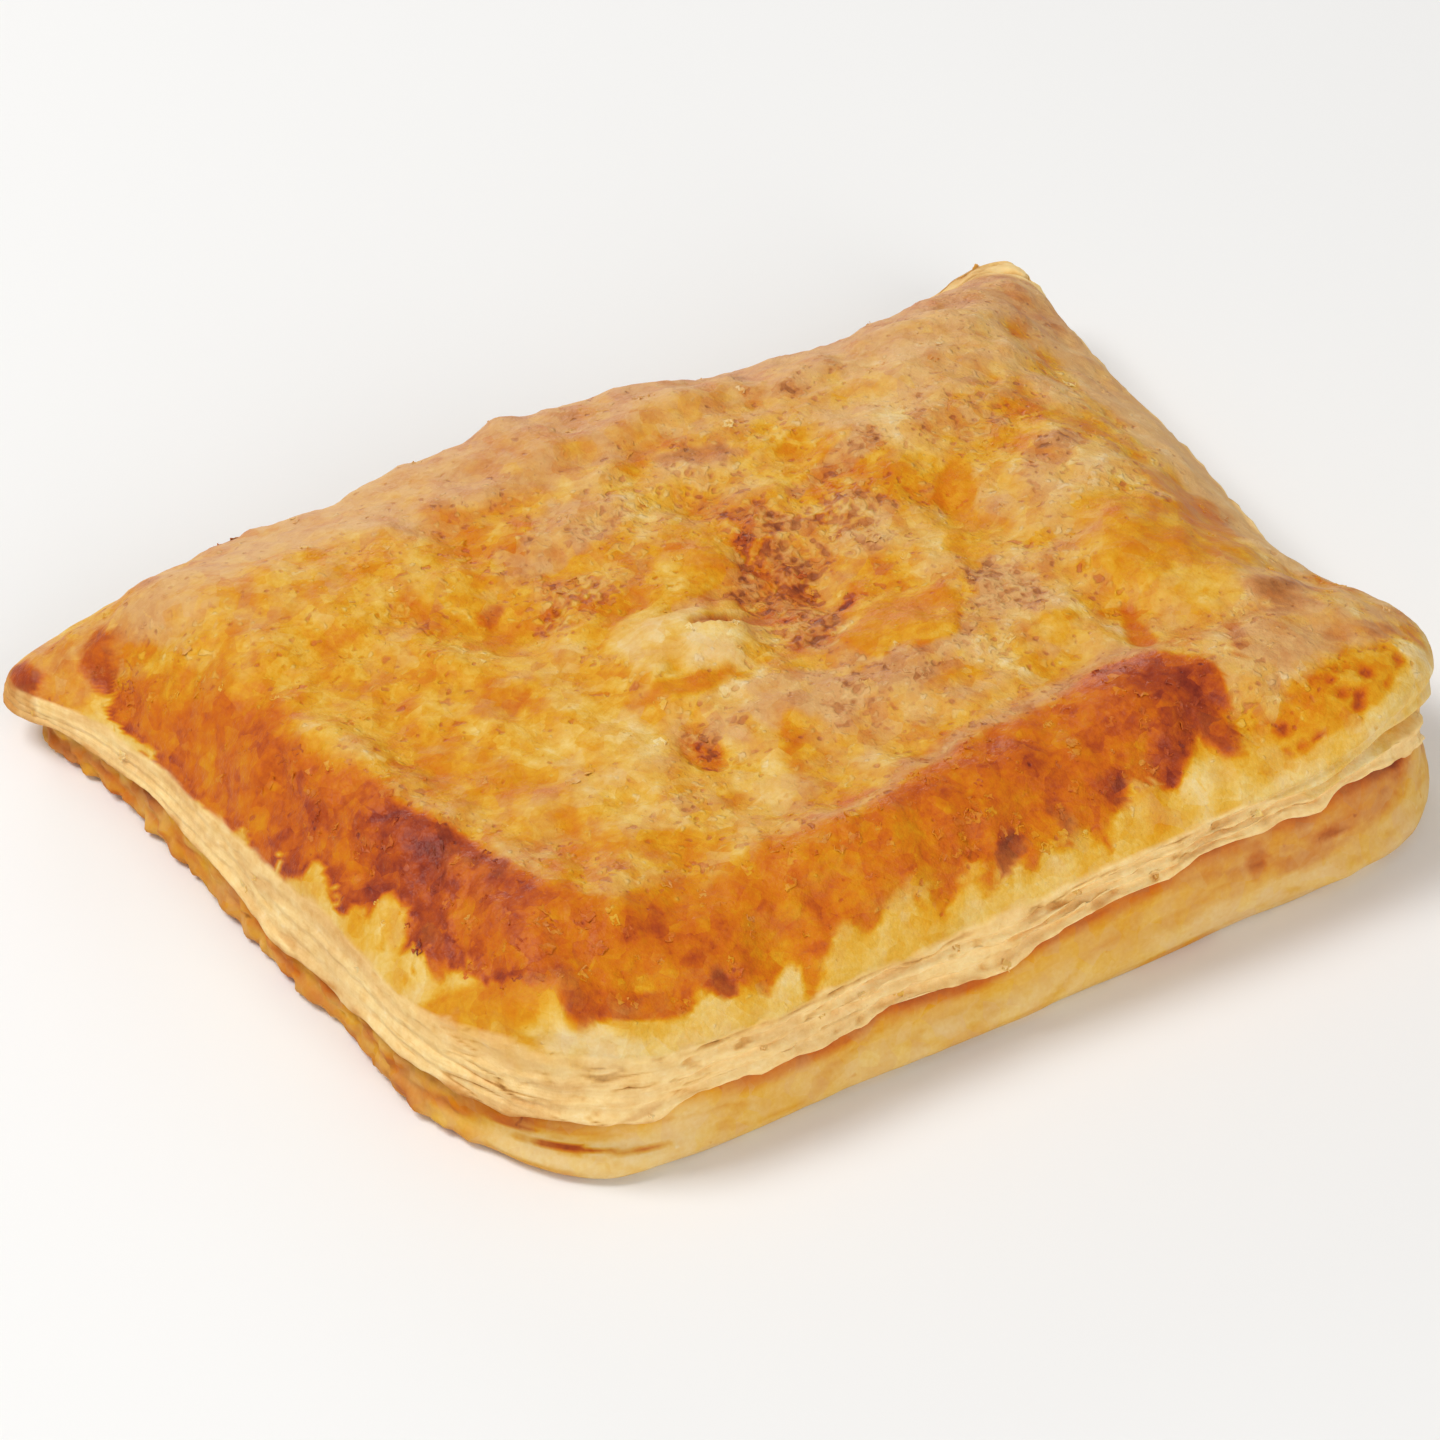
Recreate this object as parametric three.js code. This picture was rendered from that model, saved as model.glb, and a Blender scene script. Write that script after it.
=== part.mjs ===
// A hand-held puff pastry pie: an uneven rectangle with pulled-out corners, uncut, so solid all through.
// It is two sheets of pastry: a base, and a lid that puffs up over the filling and is pressed down round the
// edge. Millimetres, +Z up. The pie stands on Z = 0 with its long side along X, and the origin is under its
// middle.
import * as THREE from "three";

// Plan of the cut edge. x and y are where two sides would meet. round is how far before and after that point,
// going anticlockwise, the corner's curve starts and ends. lidEdge and parting are heights at the corner:
// where the lid's cut face meets the crust, and where the two sheets part. baseIn is how far the base stands
// back.
const CORNERS = {
  front: { x: -56.6, y: -52.4, round: [32, 24], lidEdge: 16.5, parting: 10.2, baseIn: 0.4 },
  right: { x: 72.9, y: -53.6, round: [28, 19], lidEdge: 16.8, parting: 11.3, baseIn: -1.2 },
  back: { x: 83, y: 56.8, round: [7, 7], lidEdge: 14, parting: 8, baseIn: 4 },
  left: { x: -63.5, y: 54.3, round: [6, 6], lidEdge: 9, parting: 6, baseIn: 3.2 },
};
// offsets are how far a side stands out of the straight line between its corners, or is drawn in where
// negative, each at a share of its length. shoulder is how far in from that side the lid reaches its full
// height. steps are its facets along the side.
const SIDES = [
  { from: "front", to: "right", offsets: [[0.3, 0.2], [0.7, 0.1]], shoulder: 14.5, steps: 42 },
  {
    from: "right",
    to: "back",
    offsets: [[0.14, -1.6], [0.35, -5.6], [0.6, -4.2], [0.82, -2.8]],
    shoulder: 25,
    steps: 30,
  },
  {
    from: "back",
    to: "left",
    offsets: [[0.14, -2.4], [0.3, -3.4], [0.47, 2.6], [0.7, 3.8], [0.87, 4.2]],
    shoulder: 21,
    steps: 42,
  },
  {
    from: "left",
    to: "front",
    offsets: [[0.17, -4.6], [0.45, -3.8], [0.75, -1.8]],
    shoulder: 12.5,
    steps: 30,
  },
];
const CROWN = 25.2; // height of the lid's middle
const CROWN_TILT = 0.03; // how much that rises for each millimetre to the right
const CORE_INSET = 18; // the even grid of facets in the lid's middle starts this far in

// The right corner puffed up more than the rest: extra height, and how far round the corner it reaches.
const RIGHT_PUFF = { lid: 4.4, parting: 0.6, reach: 19 };
// At the front corner the lid sags over the base. Along the left side it does so too, and the base is tucked
// in under it there.
const FRONT_SAG = { depth: 2, reach: 15 };
const LEFT_SAG = { at: { x: -57, y: -7 }, depth: 3, reach: 21 };
const LEFT_TUCK = { at: { x: -66, y: 30 }, depth: 0.5, reach: 24 };
// Along the front the crack between the sheets, and the lid's rim, rise over the first of these stretches and
// come down again over the second.
const FRONT_RISE = { parting: 3.7, lid: 1.8, up: [5, 26], down: [54, 67] };

// Where the two sheets touch: a level face, out to this far in from the edge.
const SEAM_Z = 8;
const SEAM_INSET = 8;
const GAP = 0.6; // open crack between the sheets at the edge

// Lumps and hollows of the lid: middle, half-widths along and across, turn in degrees, and height.
const LUMPS = [
  { at: [6, -39.5], half: [38, 4.6], turn: 0, height: 2 }, // roll of crust along the front
  { at: [37, -38.5], half: [9, 4.6], turn: 6, height: 1.7 }, // its blistered right end
  { at: [6, -29], half: [38, 6], turn: 0, height: -0.7 }, // valley behind the roll
  { at: [-46, -4], half: [4.5, 26], turn: 8, height: 1.5 }, // shoulder along the left
  { at: [-36, -33], half: [9, 6], turn: -38, height: 1.4 }, // where the two meet, at the front corner
  { at: [-6, -5], half: [9, 6.5], turn: 15, height: 1.7 },
  { at: [12, -1], half: [6.5, 8], turn: -20, height: -2.1 }, // rough hollow in the middle
  { at: [22, -14], half: [9, 6], turn: 25, height: 1.3 },
  { at: [37, 2], half: [4, 5.5], turn: 0, height: -1.7 },
  { at: [-20, 10], half: [6, 4], turn: -25, height: -1.2 },
  { at: [51, -20], half: [9, 10], turn: 20, height: 1.9 }, // smooth lobe behind the right corner
  { at: [39.5, -26], half: [3, 6], turn: -10, height: -1.5 }, // crease beside it
  { at: [-1, 45], half: [14, 7], turn: 5, height: 1.5 }, // swelling that stands over the back edge
  { at: [36, 33], half: [13, 6], turn: -8, height: -1.1 },
  { at: [-30, 28], half: [13, 9], turn: 20, height: 1.1 },
  { at: [17, 21], half: [15, 3.2], turn: 4, height: -1 },
  { at: [60, 20], half: [9, 12], turn: -15, height: -0.9 },
];

// Pastry leaves that show in the lid's cut face: how far each stands out, from the lip up to the crust.
const LID_LEAVES = [0.1, 0.7, -0.35, 0.45, -0.55, 0.3, -0.65, 0.25];
// The same for the base, from its underside up, with the share of the base's height that each is at.
const BASE_FACE = [
  { share: 0, out: -1.3 },
  { share: 0.09, out: -0.3 },
  { share: 0.3, out: 0.1 },
  { share: 0.5, out: -0.5 },
  { share: 0.72, out: -0.6 },
  { share: 0.92, out: -1.6 },
  { share: 1, out: -2.7 },
];
const BASE_SPLIT = { depth: 0.9, reach: 26 }; // crack between the base's own leaves, round the front corner
const LID_SPLIT = { leaf: 4, depth: 2.2, reach: 14 }; // gape between two lid leaves, at the right corner
// Flaps along the lid's lip: lengths of the first ones going right from the front corner, the range that
// the rest are drawn from, and how far their ends hang down.
const FLAPS = { first: [17, 24.5, 19.5, 22, 10.5, 8, 14], shortest: 11, longest: 20, drop: 2.7 };
// Random relief: half heights, and the share by which a shoulder's width varies.
const UNEVEN = { plan: 0.7, leaf: 0.45, lip: 0.5, coarse: 0.6, fine: 0.5, shoulder: 0.2 };

// A fixed pseudo-random value from -1 to 1 for each whole-number place.
function chance(column, row, seed) {
  let h = Math.imul(column, 374761393) + Math.imul(row, 668265263) + Math.imul(seed, 974634777);
  h = Math.imul(h ^ (h >>> 13), 1274126177);
  return (((h ^ (h >>> 16)) >>> 0) / 0xffffffff) * 2 - 1;
}

// Smooth random bumps from -1 to 1, about size wide.
function bumps(x, y, size, seed) {
  const column = Math.floor(x / size);
  const row = Math.floor(y / size);
  const u = THREE.MathUtils.smootherstep(x / size - column, 0, 1);
  const v = THREE.MathUtils.smootherstep(y / size - row, 0, 1);
  const below = THREE.MathUtils.lerp(chance(column, row, seed), chance(column + 1, row, seed), u);
  const above = THREE.MathUtils.lerp(chance(column, row + 1, seed), chance(column + 1, row + 1, seed), u);
  return THREE.MathUtils.lerp(below, above, v);
}

// Falls smoothly from 1 at a point to 0 at about twice reach away.
function near(p, q, reach) {
  return Math.exp(-((p.x - q.x) ** 2 + (p.y - q.y) ** 2) / reach ** 2);
}

// The share of FRONT_RISE that holds at a point.
function raised(p) {
  const { smoothstep } = THREE.MathUtils;
  return p.y < 0 ? smoothstep(p.x, ...FRONT_RISE.up) * (1 - smoothstep(p.x, ...FRONT_RISE.down)) : 0;
}

// Each side as a curve from corner to corner, before the corners are rounded.
for (const side of SIDES) {
  const a = new THREE.Vector2(CORNERS[side.from].x, CORNERS[side.from].y);
  const b = new THREE.Vector2(CORNERS[side.to].x, CORNERS[side.to].y);
  const outward = new THREE.Vector2(b.y - a.y, a.x - b.x).normalize();
  const between = side.offsets.map(([share, out]) => a.clone().lerp(b, share).addScaledVector(outward, out));
  side.curve = new THREE.SplineCurve([a, ...between, b]);
  side.points = side.curve.getSpacedPoints(120);
}

// The stretch of cut edge from the middle of one rounded corner to the middle of the next.
function edgeOfSide(index) {
  const side = SIDES[index];
  const before = SIDES[(index + 3) % 4];
  const after = SIDES[(index + 1) % 4];
  const start = CORNERS[side.from];
  const end = CORNERS[side.to];
  const length = side.curve.getLength();
  const first = start.round[1] / length;
  const last = 1 - end.round[0] / length;
  const leaving = side.curve.getPointAt(first);
  const arriving = side.curve.getPointAt(last);
  const backAlong = before.curve.getPointAt(1 - start.round[0] / before.curve.getLength());
  const onAlong = after.curve.getPointAt(end.round[1] / after.curve.getLength());
  const halfRound = (from, tip, to) => {
    const nearFrom = from.clone().lerp(tip, 0.5);
    const nearTo = tip.clone().lerp(to, 0.5);
    return { nearFrom, nearTo, middle: nearFrom.clone().lerp(nearTo, 0.5) };
  };
  const startRound = halfRound(backAlong, side.curve.points[0], leaving);
  const endRound = halfRound(arriving, side.curve.points.at(-1), onAlong);
  const straight = [];
  for (let i = 0; i <= 24; i++) straight.push(side.curve.getPointAt(first + ((last - first) * i) / 24));
  const path = new THREE.CurvePath();
  path.add(new THREE.QuadraticBezierCurve(startRound.middle, startRound.nearTo, leaving));
  path.add(new THREE.SplineCurve(straight));
  path.add(new THREE.QuadraticBezierCurve(arriving, endRound.nearFrom, endRound.middle));
  path.arcLengthDivisions = 400;
  return path.getSpacedPoints(side.steps).slice(0, side.steps);
}

const edge = SIDES.flatMap((_, index) => edgeOfSide(index));
const COUNT = edge.length;
const COLUMNS = SIDES[0].steps;
const ROWS = SIDES[1].steps;

// The middle of the lid is a grid of four-cornered cells. Its boundary has as many points as the cut edge.
const coreCorners = ["front", "right", "back", "left"].map((name, i) => {
  const toRight = i === 0 || i === 3 ? 1 : -1;
  const toBack = i < 2 ? 1 : -1;
  return new THREE.Vector2(CORNERS[name].x + toRight * CORE_INSET, CORNERS[name].y + toBack * CORE_INSET);
});
function corePoint(column, row) {
  const [front, right, back, left] = coreCorners;
  const nearSide = front.clone().lerp(right, column / COLUMNS);
  const farSide = left.clone().lerp(back, column / COLUMNS);
  return nearSide.lerp(farSide, row / ROWS);
}
// The grid place of each boundary point, in the order of the cut edge.
function coreCell(i) {
  if (i < COLUMNS) return [i, 0];
  if (i < COLUMNS + ROWS) return [COLUMNS, i - COLUMNS];
  if (i < 2 * COLUMNS + ROWS) return [2 * COLUMNS + ROWS - i, ROWS];
  return [0, COUNT - i];
}
const inward = edge.map((p, i) => corePoint(...coreCell(i)).sub(p).normalize());

// A point of the cut edge moved in by that distance, or out where negative.
function moved(i, distance) {
  return edge[i].clone().addScaledVector(inward[i], distance);
}

// A height given at the four corners, blended over the plan.
function blended(p, key) {
  const { front, right, back, left } = CORNERS;
  const across = THREE.MathUtils.clamp((p.x - front.x) / (right.x - front.x), 0, 1);
  const along = THREE.MathUtils.clamp((p.y - front.y) / (left.y - front.y), 0, 1);
  const nearSide = THREE.MathUtils.lerp(front[key], right[key], across);
  const farSide = THREE.MathUtils.lerp(left[key], back[key], across);
  return THREE.MathUtils.lerp(nearSide, farSide, along);
}

// Flaps along the lid's lip. Each droops more and more towards its far end, and stops short there.
const perimeter = edge.reduce((sum, p, i) => sum + p.distanceTo(edge[(i + 1) % COUNT]), 0);
const flaps = [];
for (let start = 0, n = 0; start < perimeter; n++) {
  const drawn = THREE.MathUtils.mapLinear(chance(n, 0, 11), -1, 1, FLAPS.shortest, FLAPS.longest);
  const length = FLAPS.first[n] ?? drawn;
  flaps.push({ start, length, drop: FLAPS.drop * (n < 3 ? 1 : 0.6 + 0.4 * chance(n, 0, 12)) });
  start += length;
}
let along = 0;
const distanceAlong = edge.map((p, i) => (along += i ? p.distanceTo(edge[i - 1]) : 0));
function droop(i) {
  const flap = flaps.findLast((f) => f.start <= distanceAlong[i]);
  const t = (distanceAlong[i] - flap.start) / flap.length;
  return flap.drop * t ** 1.5 * Math.min(1, 6 * (1 - t));
}

const rightCorner = edge[COLUMNS];
const frontCorner = edge[0];
const uneven = edge.map((p) => UNEVEN.plan * bumps(p.x, p.y, 13, 1));
// Height where the two sheets part at the edge, and of the lid's lip, which hangs down over the base.
const partingHeight = edge.map((p) => {
  const puff = RIGHT_PUFF.parting * near(p, rightCorner, RIGHT_PUFF.reach);
  const sags = [{ ...FRONT_SAG, at: frontCorner }, LEFT_SAG];
  const sag = sags.reduce((sum, { at, depth, reach }) => sum + depth * near(p, at, reach), 0);
  const rise = FRONT_RISE.parting * raised(p);
  return blended(p, "parting") + puff + rise - sag + UNEVEN.lip * bumps(p.x, p.y, 7, 2);
});
const lipHeight = partingHeight.map((height, i) => height - droop(i));

// Height of the lid where its cut face meets the crust.
function rimHeight(p) {
  const puff = RIGHT_PUFF.lid * near(p, rightCorner, RIGHT_PUFF.reach) + FRONT_RISE.lid * raised(p);
  return blended(p, "lidEdge") + puff + 0.5 * UNEVEN.coarse * bumps(p.x, p.y, 12, 3);
}

function distanceTo(points, p) {
  return Math.sqrt(points.reduce((least, q) => Math.min(least, q.distanceToSquared(p)), Infinity));
}

// One lump's height over a point.
function lumpHeight(lump, p) {
  const turn = THREE.MathUtils.degToRad(lump.turn);
  const dx = p.x - lump.at[0];
  const dy = p.y - lump.at[1];
  const along = (dx * Math.cos(turn) + dy * Math.sin(turn)) / lump.half[0];
  const across = (dy * Math.cos(turn) - dx * Math.sin(turn)) / lump.half[1];
  return lump.height * Math.exp(-(along ** 4) - across ** 2);
}

// Height of the crust over any point of the plan: edge, pillow over the filling, lumps and random relief.
function crustHeight(p) {
  const fromEdge = distanceTo(edge, p);
  const rounding = 1.1 * Math.exp(-fromEdge / 1.1);
  let rise = 1;
  for (const side of SIDES) {
    const shoulder = side.shoulder * (1 + UNEVEN.shoulder * bumps(p.x, p.y, 24, 6));
    const share = THREE.MathUtils.clamp(distanceTo(side.points, p) / shoulder, 0, 1);
    rise *= Math.sin((Math.PI / 2) * share) ** 1.1;
  }
  const rim = rimHeight(p);
  const lumps = LUMPS.reduce((sum, lump) => sum + lumpHeight(lump, p), 0);
  const relief = UNEVEN.coarse * bumps(p.x, p.y, 10, 4) + UNEVEN.fine * bumps(p.x, p.y, 5.5, 5);
  return rim - rounding + rise * (CROWN + CROWN_TILT * p.x - rim + lumps) + relief * (0.3 + 0.7 * rise);
}

// Skins a closed solid: rings of COUNT points from the underside up, closed below by a level face and above
// either by a level face or by the grid of the lid's middle.
function solid(rings, top) {
  const positions = rings.flat();
  const triangles = [];
  const at = (ring, i) => ring * COUNT + (i % COUNT);
  const quad = (a, b, c, d) => triangles.push(a, b, c, a, c, d);
  for (let ring = 0; ring + 1 < rings.length; ring++) {
    for (let i = 0; i < COUNT; i++) {
      const corners = [at(ring, i), at(ring, i + 1), at(ring + 1, i + 1), at(ring + 1, i)];
      // The base's facets are split the other way, so that they follow the lid's along the crack.
      if (top === "level") corners.push(corners.shift());
      quad(...corners);
    }
  }
  const flat = (ring) => rings[ring].map((p) => new THREE.Vector2(p.x, p.y));
  const level = (ring) => THREE.ShapeUtils.triangulateShape(flat(ring), []);
  for (const [a, b, c] of level(0)) triangles.push(at(0, a), at(0, c), at(0, b));
  const last = rings.length - 1;
  if (top === "level") {
    for (const [a, b, c] of level(last)) triangles.push(at(last, a), at(last, b), at(last, c));
  } else {
    const index = new Map();
    for (let i = 0; i < COUNT; i++) index.set(coreCell(i).join(), at(last, i));
    for (let row = 1; row < ROWS; row++) {
      for (let column = 1; column < COLUMNS; column++) {
        const p = corePoint(column, row);
        index.set([column, row].join(), positions.length);
        positions.push(new THREE.Vector3(p.x, p.y, crustHeight(p)));
      }
    }
    const cell = (column, row) => index.get([column, row].join());
    for (let row = 0; row < ROWS; row++) {
      for (let column = 0; column < COLUMNS; column++) {
        quad(cell(column, row), cell(column + 1, row), cell(column + 1, row + 1), cell(column, row + 1));
      }
    }
  }
  return new THREE.BufferGeometry().setFromPoints(positions).setIndex(triangles);
}

// One ring round the pie: a distance in from the cut edge and a height, each worked out for every point.
function ring(inset, height) {
  return edge.map((_, i) => {
    const p = moved(i, inset(i));
    return new THREE.Vector3(p.x, p.y, height(p, i));
  });
}

// How far the base stands back from the lid, whose corners are pulled out over it.
const setBack = edge.map((p) => {
  const tuck = LEFT_TUCK.depth * near(p, LEFT_TUCK.at, LEFT_TUCK.reach);
  return Object.values(CORNERS).reduce((sum, corner) => sum + corner.baseIn * near(p, corner, 14), tuck);
});

// The level face where lid and base touch, the base's top edge, and the crack halfway between the two.
const seam = ring(() => SEAM_INSET, () => SEAM_Z);
const topInset = (i) => uneven[i] + setBack[i] - BASE_FACE.at(-1).out;
const crackInset = (i) => 0.5 * (SEAM_INSET + topInset(i));
const crackHeight = (i) => 0.5 * (SEAM_Z + partingHeight[i]);

function baseRings() {
  const topEdge = (i) => partingHeight[i] - GAP;
  const rings = BASE_FACE.map(({ share, out }, k) => {
    const split = share === 0.5 ? BASE_SPLIT.depth : 0;
    const inset = (i) => {
      const leaf = share > 0.1 && share < 0.9 ? UNEVEN.leaf * bumps(edge[i].x, edge[i].y, 8, 20 + k) : 0;
      return uneven[i] + setBack[i] - out - 0.5 * leaf + split * near(edge[i], frontCorner, BASE_SPLIT.reach);
    };
    return ring(inset, (_, i) => share * topEdge(i));
  });
  rings.push(ring(crackInset, (_, i) => crackHeight(i) - 0.5 * GAP));
  rings.push(seam);
  return rings;
}

function lidRings() {
  const rings = [seam];
  rings.push(ring(crackInset, (_, i) => crackHeight(i) + 0.2 * GAP));
  rings.push(ring(topInset, (_, i) => partingHeight[i] + 0.1));
  LID_LEAVES.forEach((out, k) => {
    const share = k / (LID_LEAVES.length - 1);
    const gape = k === LID_SPLIT.leaf ? LID_SPLIT.depth : 0;
    const inset = (i) => {
      const leaf = UNEVEN.leaf * bumps(edge[i].x, edge[i].y, 7, 40 + k);
      const flap = 0.35 * droop(i) * (1 - share);
      return uneven[i] - out - leaf - flap + gape * near(edge[i], rightCorner, LID_SPLIT.reach);
    };
    const height = (p, i) => {
      const wander = 0.3 * bumps(p.x, p.y, 9, 60 + k) * Math.sin(Math.PI * share);
      return THREE.MathUtils.lerp(lipHeight[i], rimHeight(edge[i]) - 1, share) + wander;
    };
    rings.push(ring(inset, height));
  });
  for (const inset of [0.9, 2.3, 4.2, 6.6, 9.4, 12.5]) {
    rings.push(ring((i) => uneven[i] + inset, crustHeight));
  }
  rings.push(
    edge.map((_, i) => {
      const p = corePoint(...coreCell(i));
      return new THREE.Vector3(p.x, p.y, crustHeight(p));
    }),
  );
  return rings;
}

const base = solid(baseRings(), "level");
const lid = solid(lidRings(), "grid");

// The origin goes under the middle of the whole pie's box.
const box = new THREE.Box3().setFromBufferAttribute(base.getAttribute("position"));
box.union(new THREE.Box3().setFromBufferAttribute(lid.getAttribute("position")));
const middle = box.getCenter(new THREE.Vector3());

const finishes = {
  pastry_base: new THREE.MeshStandardMaterial({ color: 0xdba964, roughness: 0.75, metalness: 0 }),
  pastry_lid: new THREE.MeshStandardMaterial({ color: 0xd9952f, roughness: 0.5, metalness: 0 }),
};
const pie = new THREE.Group();
pie.name = "puff_pastry_pie";
for (const [name, geometry] of [["pastry_base", base], ["pastry_lid", lid]]) {
  geometry.translate(-middle.x, -middle.y, 0);
  geometry.computeVertexNormals();
  const mesh = new THREE.Mesh(geometry, finishes[name]);
  mesh.name = name;
  pie.add(mesh);
}

export default pie;
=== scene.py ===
# %% [markdown]
# # A puff pastry pie, from plain solids to something baked
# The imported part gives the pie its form: a flat base and a puffed lid, both smooth and facetted. This
# lesson turns them into baked pastry. It keeps their size and place, and adds what an oven and a knife
# add: blisters, torn leaves, a laminated cut edge and the many colours of a crust. Blender counts in
# metres, and MM turns millimetres into them. Shapes and patterns are worked out in millimetres, because
# a baker's details are easier to read that way.

import math

import bpy
import numpy as np
from mathutils import Matrix, Vector, noise
from mathutils.kdtree import KDTree


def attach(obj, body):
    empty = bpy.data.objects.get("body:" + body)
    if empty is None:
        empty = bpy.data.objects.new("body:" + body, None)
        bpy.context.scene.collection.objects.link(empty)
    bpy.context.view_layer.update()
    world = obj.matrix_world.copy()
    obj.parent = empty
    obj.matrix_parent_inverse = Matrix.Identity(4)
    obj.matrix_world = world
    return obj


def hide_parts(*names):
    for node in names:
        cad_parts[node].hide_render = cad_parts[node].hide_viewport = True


MM = 0.001
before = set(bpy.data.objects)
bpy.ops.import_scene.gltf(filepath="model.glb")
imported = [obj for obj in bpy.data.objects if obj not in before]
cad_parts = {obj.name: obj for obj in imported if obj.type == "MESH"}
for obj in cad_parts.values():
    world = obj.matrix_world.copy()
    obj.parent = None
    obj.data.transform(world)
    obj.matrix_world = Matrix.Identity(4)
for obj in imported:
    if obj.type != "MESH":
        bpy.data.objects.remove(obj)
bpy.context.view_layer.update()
bpy.ops.object.select_all(action="DESELECT")

# %% [markdown]
# ## A copy to work on
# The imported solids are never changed, so each piece starts as a copy. Its triangles come in loose,
# every one with its own corners. Merging by distance joins them, and turning triangles back into quads
# gives the rows of four-sided faces that the solid was built from. Subdivision likes quads, and the
# rows are useful by themselves.

# %% Copy a node and tidy its mesh
SAME_PLACE = 0.002 * MM


def only(piece):
    """Makes one object the selected and active one, as a click on it does."""
    bpy.ops.object.select_all(action="DESELECT")
    piece.select_set(True)
    bpy.context.view_layer.objects.active = piece


def working_copy(node, name):
    """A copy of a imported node, with its loose triangles joined into quads."""
    piece = bpy.data.objects.new(name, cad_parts[node].data.copy())
    piece.data.name = name
    piece.data.materials.clear()
    bpy.context.scene.collection.objects.link(piece)
    only(piece)
    bpy.ops.object.mode_set(mode="EDIT")
    bpy.ops.mesh.select_all(action="SELECT")
    bpy.ops.mesh.remove_doubles(threshold=SAME_PLACE)
    bpy.ops.mesh.tris_convert_to_quads(
        face_threshold=math.pi, shape_threshold=math.pi, topology_influence=2)
    bpy.ops.object.mode_set(mode="OBJECT")
    print(f"{name}: {len(piece.data.vertices)} vertices, {len(piece.data.polygons)} faces")
    return piece


lid = working_copy("pastry_lid", "puffed_lid")
base = working_copy("pastry_base", "pressed_base")

# %% [markdown]
# ## Count the rows
# Pastry looks quite different on its cut edge and on its crust, so the mesh has to know where one ends
# and the other starts. By hand the flat face underneath would be selected and Select More pressed again
# and again: each press takes in the next row. The same walk is made in code, and every vertex keeps its
# row number as an attribute. Subdivision then blends the numbers, so they become a smooth measure of
# the way up the pie.

# %% Number the rows from the flat face up
SEAM_HEIGHT = 8 * MM
LEVEL = 0.02 * MM
FACES_DOWN = -0.999


def number_rows(piece, flat_height):
    """Stores each vertex's row, counted from the flat face at that height, as the attribute row."""
    mesh = piece.data
    down = [f for f in mesh.polygons if f.normal.z < FACES_DOWN]
    flat = [f for f in down if abs(f.center.z - flat_height) < LEVEL]
    row = {v: 0 for f in flat for v in f.vertices}
    beside = [[] for _ in mesh.vertices]
    for a, b in (e.vertices for e in mesh.edges):
        beside[a].append(b)
        beside[b].append(a)
    front, count = list(row), 0
    while front:
        count += 1
        front = sorted({w for v in front for w in beside[v]} - row.keys())
        row.update((v, count) for v in front)
    layer = mesh.attributes.new("row", "FLOAT", "POINT")
    layer.data.foreach_set("value", np.array([row[v] for v in range(len(mesh.vertices))], np.float32))
    print(f"{piece.name}: {count} rows")


number_rows(lid, SEAM_HEIGHT)
number_rows(base, 0)

# %% [markdown]
# ## More mesh to shape
# Two rounds of Catmull-Clark subdivision turn the facets into soft dough and give enough vertices for
# blisters a millimetre wide. The cut edge needs its leaves, which are thinner, so its rows are split
# once more first.

# %% Split the cut edge's rows, then subdivide
# the lid's rows, from below: the last one under its overhang, its lip, its rim and the first of the crust
LID_ROWS = {"under": 2, "lip": 3, "rim": 10, "crust": 11}


def values_of(piece, name):
    """An attribute's values, one for each vertex."""
    values = np.zeros(len(piece.data.vertices), np.float32)
    piece.data.attributes[name].data.foreach_get("value", values)
    return values.astype(float)


def split_rows(piece, first, last):
    """Cuts every upright edge between those rows in two, as Subdivide does on a ring of selected edges."""
    row = values_of(piece, "row")
    only(piece)
    bpy.ops.object.mode_set(mode="EDIT")
    bpy.ops.mesh.select_mode(type="EDGE")
    bpy.ops.mesh.select_all(action="DESELECT")
    bpy.ops.object.mode_set(mode="OBJECT")
    for e in piece.data.edges:
        low, high = sorted(row[v] for v in e.vertices)
        e.select = bool(low != high and low >= first and high <= last)
    bpy.ops.object.mode_set(mode="EDIT")
    bpy.ops.mesh.subdivide(number_cuts=1, quadcorner="STRAIGHT_CUT")
    bpy.ops.object.mode_set(mode="OBJECT")


def subdivide(piece, levels=2):
    only(piece)
    soft = piece.modifiers.new("soft dough", "SUBSURF")
    soft.levels = soft.render_levels = levels
    bpy.ops.object.modifier_apply(modifier=soft.name)
    print(f"{piece.name}: {sum(len(f.vertices) - 2 for f in piece.data.polygons)} triangles")


split_rows(lid, LID_ROWS["lip"], LID_ROWS["rim"])
subdivide(lid)
subdivide(base)

# %% [markdown]
# ## Tools for unevenness
# Nothing baked is regular, but the result has to be the same on every run. Perlin noise does both: it
# is random to look at, and the same place always gives the same value. Its size is in millimetres, so
# it can be matched to a blister or a flake. Three sizes, one per axis, stretch it along the layers or
# down a slope.

# %% Positions and noise
# Perlin noise seldom passes 0.7, so it is raised to use the whole range from -1 to 1.
PERLIN_GAIN, FRACTAL_GAIN = 1.4, 1.2


def places(piece):
    """The positions of the vertices, in millimetres."""
    co = np.zeros(len(piece.data.vertices) * 3, np.float32)
    piece.data.vertices.foreach_get("co", co)
    return co.reshape(-1, 3).astype(float) / MM


def spread(at, size, seed, shift):
    """Places in units of size, moved so that every seed reads its own part of the noise."""
    return (at / np.array(size) + np.array(shift) * (seed + 0.37)).tolist()


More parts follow.
